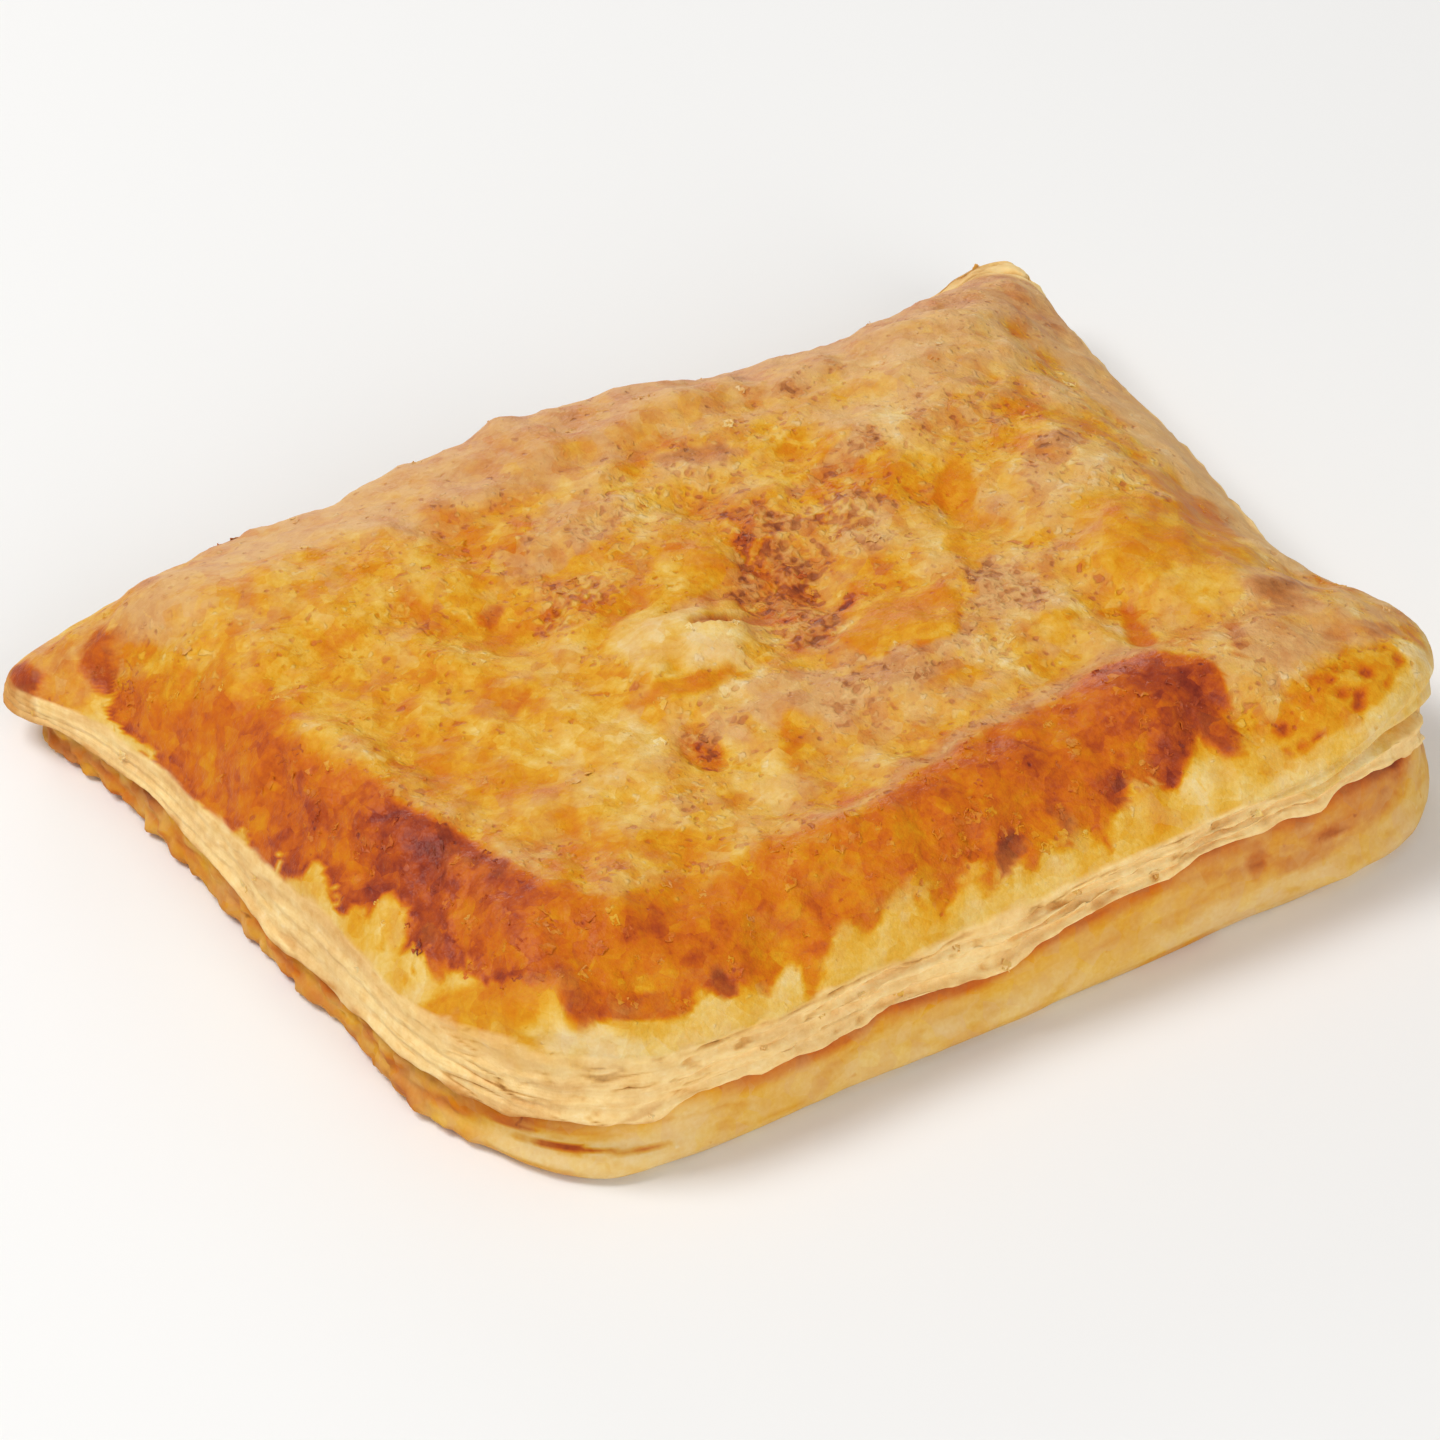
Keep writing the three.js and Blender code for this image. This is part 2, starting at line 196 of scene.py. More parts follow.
def uneven(at, size, seed, octaves=1):
    """Smooth noise of about -1 to 1 that is size millimetres wide."""
    points = spread(at, size, seed, [13.7, 7.1, 3.3])
    if octaves == 1:
        return np.array([noise.noise(p) for p in points]) * PERLIN_GAIN
    return np.array([noise.fractal(p, 0.9, 2.1, octaves) for p in points]) * FRACTAL_GAIN


def cells(at, size, seed):
    """Random cells: each place's distance from the cell's middle and from its border, in cell sizes."""
    points = spread(at, size, seed, [5.3, 17.9, 11.1])
    two_nearest = np.array([noise.voronoi(p)[0][:2] for p in points])
    return two_nearest[:, 0], two_nearest[:, 1] - two_nearest[:, 0]


def patchwork(at, size, seed):
    """One value from about -1 to 1 for every random cell of that size, like flakes of different bake."""
    points = spread(at, size, seed, [9.1, 2.7, 15.3])
    return np.array([noise.cell(noise.voronoi(p)[1][0] * 97) for p in points])


print("noise at the first vertex:", np.round(uneven(places(lid)[:1], 6, 40), 3).tolist())

# %% [markdown]
# ## Soft edges, hills and pushing
# Every finish below starts and ends somewhere, and on food no edge is sharp. A soft step and a soft
# hill say where. The relief is then pushed out along the normals, as a sculpting brush does.

# %% Steps, hills, attributes and relief
def step(x, low, high):
    """0 below low, 1 above high, and a soft climb between."""
    t = np.clip((x - low) / (high - low), 0, 1)
    return t * t * (3 - 2 * t)


def around(x, middle, reach):
    """1 at the middle, fading to both sides, down to about a third one reach away."""
    return np.exp(-(((x - middle) / reach) ** 2))


def hill(at, x, y, reach_x, reach_y):
    """1 at a place seen from above, fading around it in the same way."""
    return np.exp(-(((at[:, 0] - x) / reach_x) ** 2) - ((at[:, 1] - y) / reach_y) ** 2)


def paint(piece, name, values):
    """Stores one value for each vertex as an attribute, for the materials to read."""
    layer = piece.data.attributes.get(name) or piece.data.attributes.new(name, "FLOAT", "POINT")
    layer.data.foreach_set("value", np.asarray(values, np.float32))


def push(piece, at, outward):
    """Moves each vertex along its normal by that many millimetres."""
    normals = np.zeros(len(at) * 3, np.float32)
    piece.data.vertex_normals.foreach_get("vector", normals)
    moved = at + normals.reshape(-1, 3) * outward[:, None]
    piece.data.vertices.foreach_set("co", (moved * MM).astype(np.float32).ravel())
    piece.data.update()


lid_box = np.round(np.ptp(places(lid), axis=0), 1)
print("the subdivided lid measures, in mm:", lid_box.tolist())

# %% [markdown]
# ## Where is what on the lid
# The row numbers become three measures. `cut` says how much a place belongs to the cut edge, `leaf`
# runs from 0 at its lip to 1 where it meets the crust, and `inset` is how far in from the edge a place
# of the crust lies. Near the right corner the crust rolled down over the cut edge, so there `over`
# turns cut edge into crust.

# %% Measure the lid
# row, and its distance in from the edge in mm
CRUST_INSETS = [
    (10, 0), (11, 0.9), (12, 2.3), (13, 4.2), (14, 6.6), (15, 9.4), (16, 12.5), (17, 18), (32, 57),
]
# x in mm, and the share of the cut edge's height that still shows below the rolled crust there
ROLL = [(24, 1.0), (30, 0.78), (37, 0.40), (46, 0.40), (54, 0.44)]

row = values_of(lid, "row")
at = places(lid)
leaf = np.clip((row - LID_ROWS["under"]) / (LID_ROWS["crust"] - LID_ROWS["under"]), 0, 1)
trim = row + 0.35 * uneven(at, 6, 40) + 0.2 * uneven(at, 2, 19)
cut = step(row, 1.4, 2.2) * (1 - step(trim, 10.2, 10.7))
roll_down = np.interp(at[:, 0], *zip(*ROLL))
over = step(-at[:, 1], 30, 42) * step(at[:, 0], 24, 27)
over = over * step(leaf + 0.06 * uneven(at, 4, 50) - roll_down, -0.05, 0.06)
cut *= 1 - over
crust = np.maximum(step(row, 10.4, 11.3), over * step(row, 1.4, 2.2))
inset = np.interp(row, *zip(*CRUST_INSETS))
print(f"cut edge {np.mean(cut > 0.5):.0%} of the vertices, crust {np.mean(crust > 0.5):.0%}")

# %% [markdown]
# ## Where the oven browned it
# The sides that face the viewer were brushed with egg and browned in a wide band, from a crest down the
# slope to a ragged lower edge. The band is described the way a baker might point it out: a few places
# along the crest, and at each one how far in from the cut edge the brown stops, and how dark it is.
# Everything between is interpolated, and noise tears the outline.

# %% The browned band
# x and y of the crest, inset of the lower edge, darkness, softness of the crest side. All but darkness in mm.
BAND = [
    (-67.5, 36.0, 0.9, 0.60, 0.8),
    (-64.0, 36.4, 0.7, 0.62, 0.8),
    (-61.2, 27.0, 0.0, 0.58, 2.5),
    (-59.3, 14.0, -0.4, 0.57, 3.5),
    (-58.0, 1.5, 0.0, 0.65, 3.0),
    (-56.4, -10.4, 2.0, 0.73, 2.2),
    (-52.4, -20.8, 3.4, 0.79, 1.6),
    (-51.0, -32.4, 4.4, 0.72, 1.6),
    (-47.5, -37.6, 5.4, 0.57, 2.6),
    (-41.6, -39.8, 4.4, 0.56, 3.0),
    (-35.1, -40.7, 3.6, 0.57, 3.2),
    (-25.1, -40.0, 3.2, 0.57, 2.0),
    (-19.9, -41.6, 3.4, 0.61, 1.2),
    (-10.1, -41.2, 3.8, 0.62, 1.0),
    (-4.5, -38.8, 3.6, 0.58, 1.0),
    (4.5, -37.6, 3.2, 0.60, 1.0),
    (16.3, -37.0, 3.4, 0.67, 1.0),
    (22.7, -35.4, 3.8, 0.74, 0.9),
    (27.3, -37.2, 4.2, 0.78, 0.8),
    (31.4, -40.8, 4.6, 0.78, 0.7),
    (31.9, -44.5, 6.2, 0.80, 0.7),
    (31.0, -48.0, 7.0, 0.80, 0.7),
]


def beside_line(at, line):
    """Distance from a line of points seen from above, positive on its right, and the nearest place on it."""
    best = np.full(len(at), np.inf)
    side, where = np.zeros(len(at)), np.zeros(len(at))
    for i, (a, b) in enumerate(zip(line, line[1:])):
        run, off = b - a, at[:, :2] - a
        t = np.clip(off @ run / (run @ run), 0, 1)
        gap = off - t[:, None] * run
        distance = np.hypot(gap[:, 0], gap[:, 1])
        nearer = distance < best - 1e-9
        best[nearer], where[nearer] = distance[nearer], i + t[nearer]
        side[nearer] = np.sign(off[:, 0] * run[1] - off[:, 1] * run[0])[nearer]
    return best * side, where


crest_line = np.array([p[:2] for p in BAND])
outside, where = beside_line(at, crest_line)
stop, dark, soft = (np.interp(where, range(len(BAND)), [p[k] for p in BAND]) for k in (2, 3, 4))
ragged = uneven(at, 9, 1) * 0.9 + uneven(at, 3, 2) * 0.7
# along the front right side glaze and fat ran down the slope, so the lower edge ends in long fingers
front = step(at[:, 0], -46, -34)
slanted = np.column_stack([at[:, 0] - 0.65 * at[:, 1], 0.2 * at[:, 1], 0 * at[:, 2]])
fingers = front * uneven(slanted, 5.2, 3) * 4.2 + (1 - front) * uneven(at, (5, 5, 8), 3) * 1.2
fingers += 0.9 * patchwork(at + 0.5 * uneven(at, 2, 15)[:, None], 2.8, 1) + 0.5 * uneven(at, 1.6, 4)
band = step(outside + 0.4 * soft * ragged, -soft, 0.35 * soft)
band *= step(inset + fingers, stop - 0.3 - 0.7 * front, stop + 0.4 + 0.8 * front)
print(f"the band covers {np.mean(band > 0.5):.0%} of the lid's vertices")

# %% [markdown]
# ## Patches of their own colour
# Over the filling the crust is a patchwork: pale bumps, a rough brown hollow, orange dents, smooth
# yellow lobes, and towards the back a rosy tan that is partly its own duller colour and partly a painted
# sheen. Each patch is an ellipse with a torn outline. Four numbers paint it: `bake` from raw to dark,
# `tan` from yellow to dull rosy brown, `speck` for brown flecks, `lift` for its height. What was there
# before shows through by one minus the patch's strength. BREAKS lie over the browned band.

# %% List the patches
# x, y, half length, half width, turn in degrees: bake, tan, speck, lift in mm, strength
PATCHES = [
    # the calm back half, duller and rosier towards the rim, partly its own colour and partly a painted sheen
    (0, 44, 66, 17, 0, 0.41, 1.05, 0.4, 0, 0.85),
    (64, 8, 9, 46, -8, 0.23, 1.3, 0.35, 0, 0.9),
    (63, 42, 13, 12, 0, 0.45, 1.05, 0.45, 0, 0.9),
    (-38, 37, 24, 8, 4, 0.32, 0.95, 0.35, 0, 0.85),
    (-16, 19, 12, 4.5, 8, 0.39, 0.95, 0.75, 0, 0.85),
    (7, 24, 5, 2.2, -30, 0.58, 1.0, 0.4, -0.3, 0.85),
    (3, 20, 9, 2.5, 0, 0.34, 0.15, 0.7, 0, 0.85),
    (40, 26, 18, 9, 15, 0.26, 1.0, 0.5, 0.2, 0.75),
    (20, 14, 9, 2, 10, 0.50, 0.9, 0.9, -0.2, 0.7),
    (8, 33, 14, 3, 5, 0.34, 0.3, 0.3, 0, 0.5),
    (25, 32, 8, 3, 5, 0.46, 0.9, 0.7, 0, 0.6),
    # the yellow left
    (-42, 12, 20, 26, 10, 0.33, -0.05, 0.5, 0, 0.85),
    (-50, 26, 8, 6, 0, 0.36, 0.25, 0.5, 0, 0.6),
    (-33, -4, 9, 14, -20, 0.27, -0.1, 0.4, 0.1, 0.8),
    (-44, -16, 6, 12, 12, 0.40, 0, 0.2, 0, 0.8),
    (-36, 16, 3, 6, 30, 0.50, 0.2, 0.8, -0.1, 0.6),
    (-30, 9, 3.0, 5.4, 35, 0.34, -0.5, 0.2, -0.3, 1.0),
    (-28.5, 13.2, 2.0, 1.2, 20, 0.70, 0.3, 0.6, -0.2, 0.85),
    (-34, 3, 4.5, 2.0, 20, 0.36, -0.2, 0.3, 0.2, 0.8),
    (-36, -2, 3.6, 4.4, 0, 0.50, 0.1, 0.3, 0, 0.8),
    (-27, -1, 5, 6, 0, 0.30, 0.35, 0.4, 0.25, 0.8),
    (-30, -13, 6, 8, 20, 0.20, 0.1, 0.3, 0.15, 0.85),
    (-33, -23, 6, 6, 0, 0.24, 0.1, 0.4, 0.1, 0.8),
    (-22, -21, 2.6, 5, 10, 0.52, 0.2, 1.1, -0.2, 0.85),
    (-18, -27, 4.5, 6, 10, 0.20, 0.35, 0.4, 0.15, 0.85),
    (-35, -33, 7, 2.4, -30, 0.38, 0, 0.2, 0, 0.7),
    # the middle: pale bump, brown hollow, yellow bump
    (-20, 10, 5, 6, 0, 0.48, 0.5, 1.1, -0.1, 0.8),
    (-4, 9, 5.5, 5.5, 10, 0.38, 0, 0.4, 0, 0.9),
    (2.5, 1, 5.4, 13, -18, 0.60, 0.3, 1.15, -0.3, 0.95),
    (2, -8, 4, 5, 0, 0.60, 0.3, 1.1, -0.2, 0.9),
    (3, -22, 12, 5.5, 12, 0.48, 1.0, 0.9, 0, 0.9),
    (-9, -20, 8, 4, 12, 0.40, 0.95, 0.5, 0, 0.85),
    (-2, -30, 13, 4, 6, 0.34, 0.5, 0.5, 0, 0.7),
    (21, -17, 5, 5, 20, 0.46, 1.0, 1.2, -0.1, 0.9),
    (15, -27, 3.4, 4, 0, 0.24, 0.4, 0.9, 0.2, 0.7),
    (14, 4, 6, 4.5, 0, 0.42, 0.7, 1.0, 0, 0.75),
    (-13.5, -4, 9.5, 6.6, -15, 0.18, 0.25, 0.1, 0.5, 0.95),
    (-7.5, -4.4, 4.4, 1.9, -8, 0.62, 0.5, 0.4, -0.35, 1.0),
    (-9, 4.5, 4.5, 3.6, 20, 0.28, -0.25, 0.5, 0.2, 0.9),
    (-18.5, -12.5, 6.5, 1.7, -12, 0.47, -0.2, 0.2, -0.1, 0.95),
    (9, -15.5, 7.5, 6.0, 20, 0.43, -0.5, 0.3, 0.25, 1.0),
    # the right: orange dents, smooth lobe
    (28.6, 2.8, 4.4, 2.0, 57, 0.46, -0.3, 0.2, -0.4, 1.0),
    (23.8, -5.5, 5.0, 2.3, 57, 0.38, -0.3, 0.3, -0.1, 0.95),
    (41, 1, 6, 2.6, 30, 0.54, 0.8, 0.8, 0, 0.8),
    (36, 13, 8, 4, -20, 0.42, 0.8, 0.9, 0, 0.7),
    (42, -20, 9, 11, 20, 0.38, 0.0, 0.1, 0.1, 0.95),
    (52, -12, 4, 7, 0, 0.50, 0.3, 0.2, 0, 0.8),
    (40, -30, 4, 5, 0, 0.26, 0.1, 0.2, 0, 0.9),
    (30, -31, 1.5, 5, -14, 0.60, 0, 0.1, -0.4, 1.0),
    (24, -29, 4, 5, 0, 0.30, 0, 0.4, 0, 0.8),
    (49, -34, 5, 4.2, 30, 0.58, 1.0, 0.3, 0, 0.9),
    # the right corner
    (46, -43, 12, 4.2, 0, 0.35, 0.95, 0.3, 0, 0.9),
    (37.5, -39.5, 5.0, 0.9, 55, 0.66, 0.6, 0.2, -0.4, 0.9),
    (41, -36.4, 4.0, 0.8, 8, 0.52, 0.7, 0.2, -0.2, 0.7),
    (54, -44, 6, 1.8, -12, 0.52, 1.0, 0.3, 0, 0.8),
]
BREAKS = [
    # a pale torn tongue, dark patches, orange flats, spots
    (-63.2, -20.6, 2.0, 3.2, 15, 0.22, 0.1, 0.1, 0.35, 0.95),
    (-54.2, -25, 7.5, 3.0, -80, 0.86, 0.1, 0.2, 0, 0.9),
    (28.5, -48.5, 2.0, 3.4, 12, 0.84, 0.2, 0.2, 0, 0.8),
    (-56, -30, 3, 6, 0, 0.55, 0, 0.3, 0, 0.6),
    (-53.5, -38, 6, 3.6, -38, 0.57, -0.1, 0.2, 0, 0.8),
    (-61, -28, 1.2, 5, -20, 0.72, 0.1, 0.2, -0.2, 0.7),
    (-1.3, -50.6, 2.2, 1.5, 20, 0.84, 0.6, 0, -0.3, 0.8),
    (6.4, -50, 1.3, 2.4, 0, 0.80, 0.5, 0, -0.2, 0.7),
    (13.8, -50.2, 1.5, 1.5, 0, 0.80, 0.2, 0, -0.2, 0.7),
    (-39, -50.6, 1.8, 1.6, 0, 0.84, 0.5, 0, -0.2, 0.8),
    (-54.4, -47.2, 3.4, 2.6, 57, 0.74, 0, 0.2, 0, 0.9),
    (-57, -42.6, 8, 1.2, -40, 0.70, 0.1, 0.2, 0, 0.8),
    (-49, -49.6, 7, 1.5, -14, 0.72, 0.1, 0.3, 0, 0.8),
    # the left tip
    (-68.5, 46, 6, 8, 0, 0.44, 0.4, 0.4, 0, 0.9),
    (-64.0, 41.6, 3.8, 1.9, 64, 0.68, 0.15, 0.2, -0.2, 1.0),
    (-67, 45.5, 1.2, 1.4, 0, 0.58, 0.4, 0.5, 0, 0.8),
    (-72.2, 49, 2.8, 4.0, 10, 0.76, 0.2, 0.2, 0, 0.95),
]
print(len(PATCHES), "patches of the crust and", len(BREAKS), "on the band")

# %% [markdown]
# ## Paint in the order it happened
# Dough first blisters in the steam, then browns, then the band darkens over it, and last come spots and
# breaks. Painting in that order lets each layer cover the one before, as masks do on paint layers.

# %% Paint the patches
CRUST_START = {"bake": 0.33, "tan": 0.25, "speck": 0.62, "lift": 0.0}


def ellipse(at, x, y, long, wide, turn, tear):
    """1 inside a turned ellipse and 0 outside, with a torn outline."""
    a = math.radians(turn)
    dx, dy = at[:, 0] - x, at[:, 1] - y
    along = (dx * math.cos(a) + dy * math.sin(a)) / long
    across = (dy * math.cos(a) - dx * math.sin(a)) / wide
    return 1 - step(np.hypot(along, across) + tear * min(1.0, 5 / min(long, wide)), 0.74, 1.14)


tear = 0.42 * uneven(at, 6, 5) + 0.36 * uneven(at, 2.4, 6)
look = {key: np.full(len(at), value) for key, value in CRUST_START.items()}
look["bake"] += 0.05 * uneven(at, 15, 7) + 0.05 * uneven(at, 6, 8)


def cover(weight, **values):
    """Moves measures of the look towards values, all the way where the weight is 1."""
    for key, value in values.items():
        look[key] += weight * (value - look[key])


def paint_patches(patches):
    for x, y, long, wide, turn, bake, tan, speck, lift, strength in patches:
        weight = ellipse(at, x, y, long, wide, turn, tear) * strength
        cover(weight, bake=bake, tan=tan, speck=speck, lift=lift)


# steam's broad blisters: the colour is paler and rosier where they stand up, and deeper yellow in the hollows
blister = 0.55 * uneven(at, 9, 21) + 0.34 * uneven(at, 4.4, 22)
look["bake"] -= 0.11 * blister
look["tan"] += 0.45 * blister + 0.25 * uneven(at, 13, 27)
paint_patches(PATCHES)
look["bake"] -= 0.07 * blister
look["tan"] += 0.22 * blister + 0.16 * uneven(at, 5, 28)
look["bake"] += 0.07 * uneven(at, 3, 29)
# the strip between the band and the cut edge stayed pale
below = (1 - step(inset, 3.5, 7)) * (1 - band)
facing = step(-at[:, 1] - 0.2 * at[:, 0], 30, 44) + step(-at[:, 0], 50, 60)
pale = below * np.clip(facing, 0, 1)
cover(pale, bake=0.18 + 0.11 * uneven(slanted, 4.2, 13))
look["tan"] *= 1 - 0.8 * pale
look["speck"] *= 1 - 0.6 * pale
browned = dark + 0.10 * uneven(at, 7, 9) + 0.05 * uneven(at, 2.6, 10)
cover(band, bake=browned, tan=-0.2, speck=0.25)
# the band's lower edge is a darker rind at the left
rind = (1 - front) * band * around(inset + fingers - stop, 0.7, 0.6)
look["bake"] += 0.14 * rind
paint_patches(BREAKS)
# just inside the crest a painted sheen makes the crust duller and rosier, from the middle of the front side
# to the right
crest_sheen = around(outside, -1.6, 1.3) * step(where, 11, 15) * (1 - step(where, 17.5, 19))
cover(0.9 * crest_sheen, tan=1)
cover(0.8 * crest_sheen, bake=0.50)
print(f"bake from {look['bake'].min():.2f} to {look['bake'].max():.2f}")

# %% [markdown]
# ## The right end's honeycomb and the front corner's glow
# Towards the right corner the crust broke into small open bubbles, golden on their walls and brown
# inside. The front corner has a smooth flat that shines orange yellow. Around both, the last
# millimetres above the cut edge got no egg: they stayed cream at the right corner's end, along the
# rolled brim and round the front corner.

# %% Bubbles, flat and brims
# an open bubble's size along x, y and z, in mm
BUBBLE = (2.9, 2.6, 2.4)
bubbles = ellipse(at, 46.5, -51.0, 13.0, 4.4, 6, 0.5 * tear)
bubbles = bubbles * step(inset + 0.8 * uneven(at, 3, 12), 1.4, 2.4)
middle = cells(at, BUBBLE, 1)[0]
inside = 0.37 + 0.40 * (1 - step(middle, 0.14, 0.46)) + 0.10 * uneven(at, 3, 11)
cover(bubbles, bake=inside, tan=-0.2 + 0.5 * (1 - step(middle, 0.1, 0.3)))
look["lift"] -= 0.6 * bubbles * (1 - step(middle, 0.15, 0.5))
glow = ellipse(at, -63.6, -39.2, 11.5, 4.2, -49, 0.45 * tear) * (1 - band)
cover(0.9 * glow, bake=0.45)
cover(glow, tan=-0.2)
corner_end = ellipse(at, 57.4, -49.8, 5.0, 3.2, -60, 0.6 * tear)
cover(0.9 * corner_end, bake=0.0, tan=0.1)
brim = over * (1 - step(inset, 0.4, 1.8))
cover(0.8 * brim, bake=0.08)
rolled = hill(at, -58, -46, 17, 17)
unglazed = rolled * (1 - step(inset + 1.0 * uneven(at, 4, 18), 1.0, 2.8))
unglazed = unglazed * (1 - band) * (1 - 0.8 * glow)
cover(unglazed, bake=0.02, tan=0.3)
print(f"bubbles on {np.sum(bubbles > 0.5)} vertices, glow on {np.sum(glow > 0.5)}")

# %% [markdown]
# ## Raise the crust
# Steam lifts the top leaf in broad blisters, fat fries it into fine ones, and where it tore, the leaf
# ends in a low step. The steps come from noise cut into terraces: each terrace is one leaf. Brown
# places get more relief than smooth yellow ones. The outer edge hardly moves, so the pie keeps its
# outline.

# %% Blisters, crackle and torn leaves on the crust
rough = np.clip(0.25 + 0.5 * look["speck"] + 0.6 * step(look["bake"], 0.45, 0.75), 0, 1.3)
fried = 0.30 * np.abs(uneven(at, 2.4, 23)) + 0.16 * uneven(at, 1.6, 24)
torn = 2.6 * uneven(at, (11, 9, 14), 25, 3)
terrace = np.floor(torn) + step(torn - np.floor(torn), 0.38, 0.62)
crackle = -0.22 * (1 - step(cells(at, 3.6, 2)[1], 0.02, 0.22)) * step(look["speck"], 0.35, 0.9)
leaning = np.column_stack([at[:, 0] + 0.35 * at[:, 1], at[:, 1], at[:, 2]])
folds = uneven(leaning, (17, 4.6, 12), 55) * step(at[:, 1], 8, 24)
height = 1.15 * blister + 0.55 * folds + 0.2 * uneven(at, 3, 29) + (fried + crackle) * rough + look["lift"]
height += 0.22 * (terrace - torn) * rough
height += band * (0.25 * np.abs(uneven(at, 4.5, 26)) - 0.1)
crust_height = height * crust * (0.35 + 0.65 * step(inset, 1, 5))
# low swells and dips along the rim: x, y, reach and rise, all in mm
SWELLS = [
    (-8, 45, 6, 1.0), (-53, 39, 6, 1.0), (-70, 48, 7, 0.8), (52, 52, 13, -1.3), (66, 0, 24, 0.6),
    (60, -37, 9, 1.0), (17, 50, 7, -1.2), (-42, 53, 7, 1.0),
]
for x, y, reach, rise in SWELLS:
    crust_height += rise * hill(at, x, y, reach, reach) * np.maximum(crust, step(row, 2.2, 3))
print(f"relief from {crust_height.min():.2f} to {crust_height.max():.2f} mm")

# %% [markdown]
# ## Wear the cut edge smooth at the left
# The solid's cut edge has even grooves all round. On the real pie the knife dragged the leaves together
# at the left and round the front corner, so no groove shows there. By hand that stretch would be
# painted as a vertex group, and a Smooth modifier would be limited to it. Here the weights come from
# each vertex's place.

# %% Smooth the left and the front corner
WORN_STEPS = 10


def wear(piece, weights):
    """Smooths the mesh where the weights say so, as the Smooth modifier does with a painted vertex group."""
    group = piece.vertex_groups.new(name="worn")
    for share in range(1, WORN_STEPS + 1):
        some = np.nonzero(np.round(weights * WORN_STEPS).astype(int) == share)[0]
        group.add(some.tolist(), share / WORN_STEPS, "REPLACE")
    smooth = piece.modifiers.new("worn", "SMOOTH")
    smooth.factor, smooth.iterations, smooth.vertex_group = 0.9, 70, group.name
    only(piece)
    bpy.ops.object.modifier_apply(modifier=smooth.name)
    piece.vertex_groups.clear()


to_left = 1 - step(at[:, 0], -58, -44)
tip = hill(at, -72.5, 51.5, 7, 8)
worn = np.clip(to_left + 1.1 * rolled, 0, 1) * step(leaf, 0.12, 0.25)
worn = worn * (1 - step(inset, 0.5, 2.2)) * (1 - tip)
wear(lid, worn)
worn_at = places(lid)
print(f"worn down by up to {np.linalg.norm(worn_at - at, axis=1).max():.2f} mm")

# %% [markdown]
# ## Open the leaves of the cut edge
# Puff pastry is butter and dough folded into hundreds of leaves, and some dozen show where the knife
# went through. A leaf is a soft bulge between two sharp grooves, so the bulges are an absolute sine
# along the height. Noise bends the leaves, each one stands out by its own amount along the edge, and
# steam has torn small pits. The topmost groove is the deepest: the crust's own leaf stands a little
# over the layers below. Where the edge was worn smooth, the leaves are flush and only their torn ends
# stand out.

# %% Leaves, pits and the groove below the crust
LEAVES = 7
bend = 0.55 * uneven(at, (11, 11, 9), 31) + 0.3 * uneven(at, (4.5, 4.5, 4), 32)
count = leaf * LEAVES + bend
number = np.floor(count)
bulge = np.abs(np.sin(math.pi * count)) ** 1.4
own = uneven(np.column_stack([at[:, 0] + 31 * number, at[:, 1] - 17 * number, 5.1 * number]), 6.5, 33)
pits = step(uneven(at, (1.7, 1.7, 1.1), 34) + 0.22 * around(leaf, 0.74, 0.16), 0.66, 0.9)
crumb = 0.20 * uneven(at, (2.6, 2.6, 1.6), 38) + 0.12 * uneven(at, (1.3, 1.3, 1.0), 39)
under_crust = (1 - 0.9 * rolled) * (1 - 0.8 * to_left)
under_crust = under_crust * around(leaf + 0.05 * uneven(at, 9, 35), 0.88, 0.022)
under_crust = under_crust * step(uneven(at, 7, 36), -0.4, 0.3)
by_leaf = np.column_stack([at[:, 0], at[:, 1], 9.0 * number])
parted = 0.25 + 0.75 * step(uneven(by_leaf, 7, 30), -0.3, 0.5)
soft = 0.35 * uneven(at, (4.5, 4.5, 3.2), 29)
flush = (1 - 0.92 * to_left) * (1 - 0.8 * rolled)
leaves = (0.11 * (bulge - 0.6) * parted + 0.18 * own) * flush + soft + crumb - 0.4 * pits - 0.3 * under_crust
leaves *= 1 - 0.55 * to_left
lip = around(leaf, 0.12, 0.09) * (0.16 * uneven(at, (2.6, 2.6, 9), 37) + 0.30 * uneven(at, (8, 8, 9), 17))
cut_height = (leaves + lip) * cut * step(leaf, 0.02, 0.1)
torn_ends = uneven(at, (5.5, 5.5, 1.3), 58)
print(f"{LEAVES} leaves, relief from {cut_height.min():.2f} to {cut_height.max():.2f} mm")

# %% [markdown]
# ## Let the right corner droop
# At its right corner the lid hangs lower than anywhere else, and two of its leaves came apart there.
# The droop is in mm at five places up the edge, and most at the lip. The gape is a bite, level and
# inwards, between the two leaves. After both, the whole relief is pushed out at once, because a push
# needs the final normals.

# %% Droop, gape and all the relief
# place up the edge, and how far it hangs down in mm
DROOP = [(0.12, 4.4), (0.3, 4.0), (0.6, 3.0), (0.8, 1.8), (1, 0.5)]
GAPE_X, GAPE_Y = -2.7, 1.7
at_corner = hill(at, 60.8, -46.4, 4.6, 5)
cut_height -= 0.7 * at_corner * (1 - step(leaf, 0.18, 0.28))
cut_height += 0.45 * rolled * step(leaf, 0.15, 0.3) * (np.abs(torn_ends) - 0.2)
gape = at_corner * around(leaf, 0.33, 0.13)
worn_at[:, 0] += GAPE_X * gape
worn_at[:, 1] += GAPE_Y * gape
worn_at[:, 2] -= at_corner * np.interp(leaf, *zip(*DROOP)) * step(row, 1.2, 2.0)
push(lid, worn_at, crust_height + cut_height)
print(f"cut edge relief from {cut_height.min():.2f} to {cut_height.max():.2f} mm")
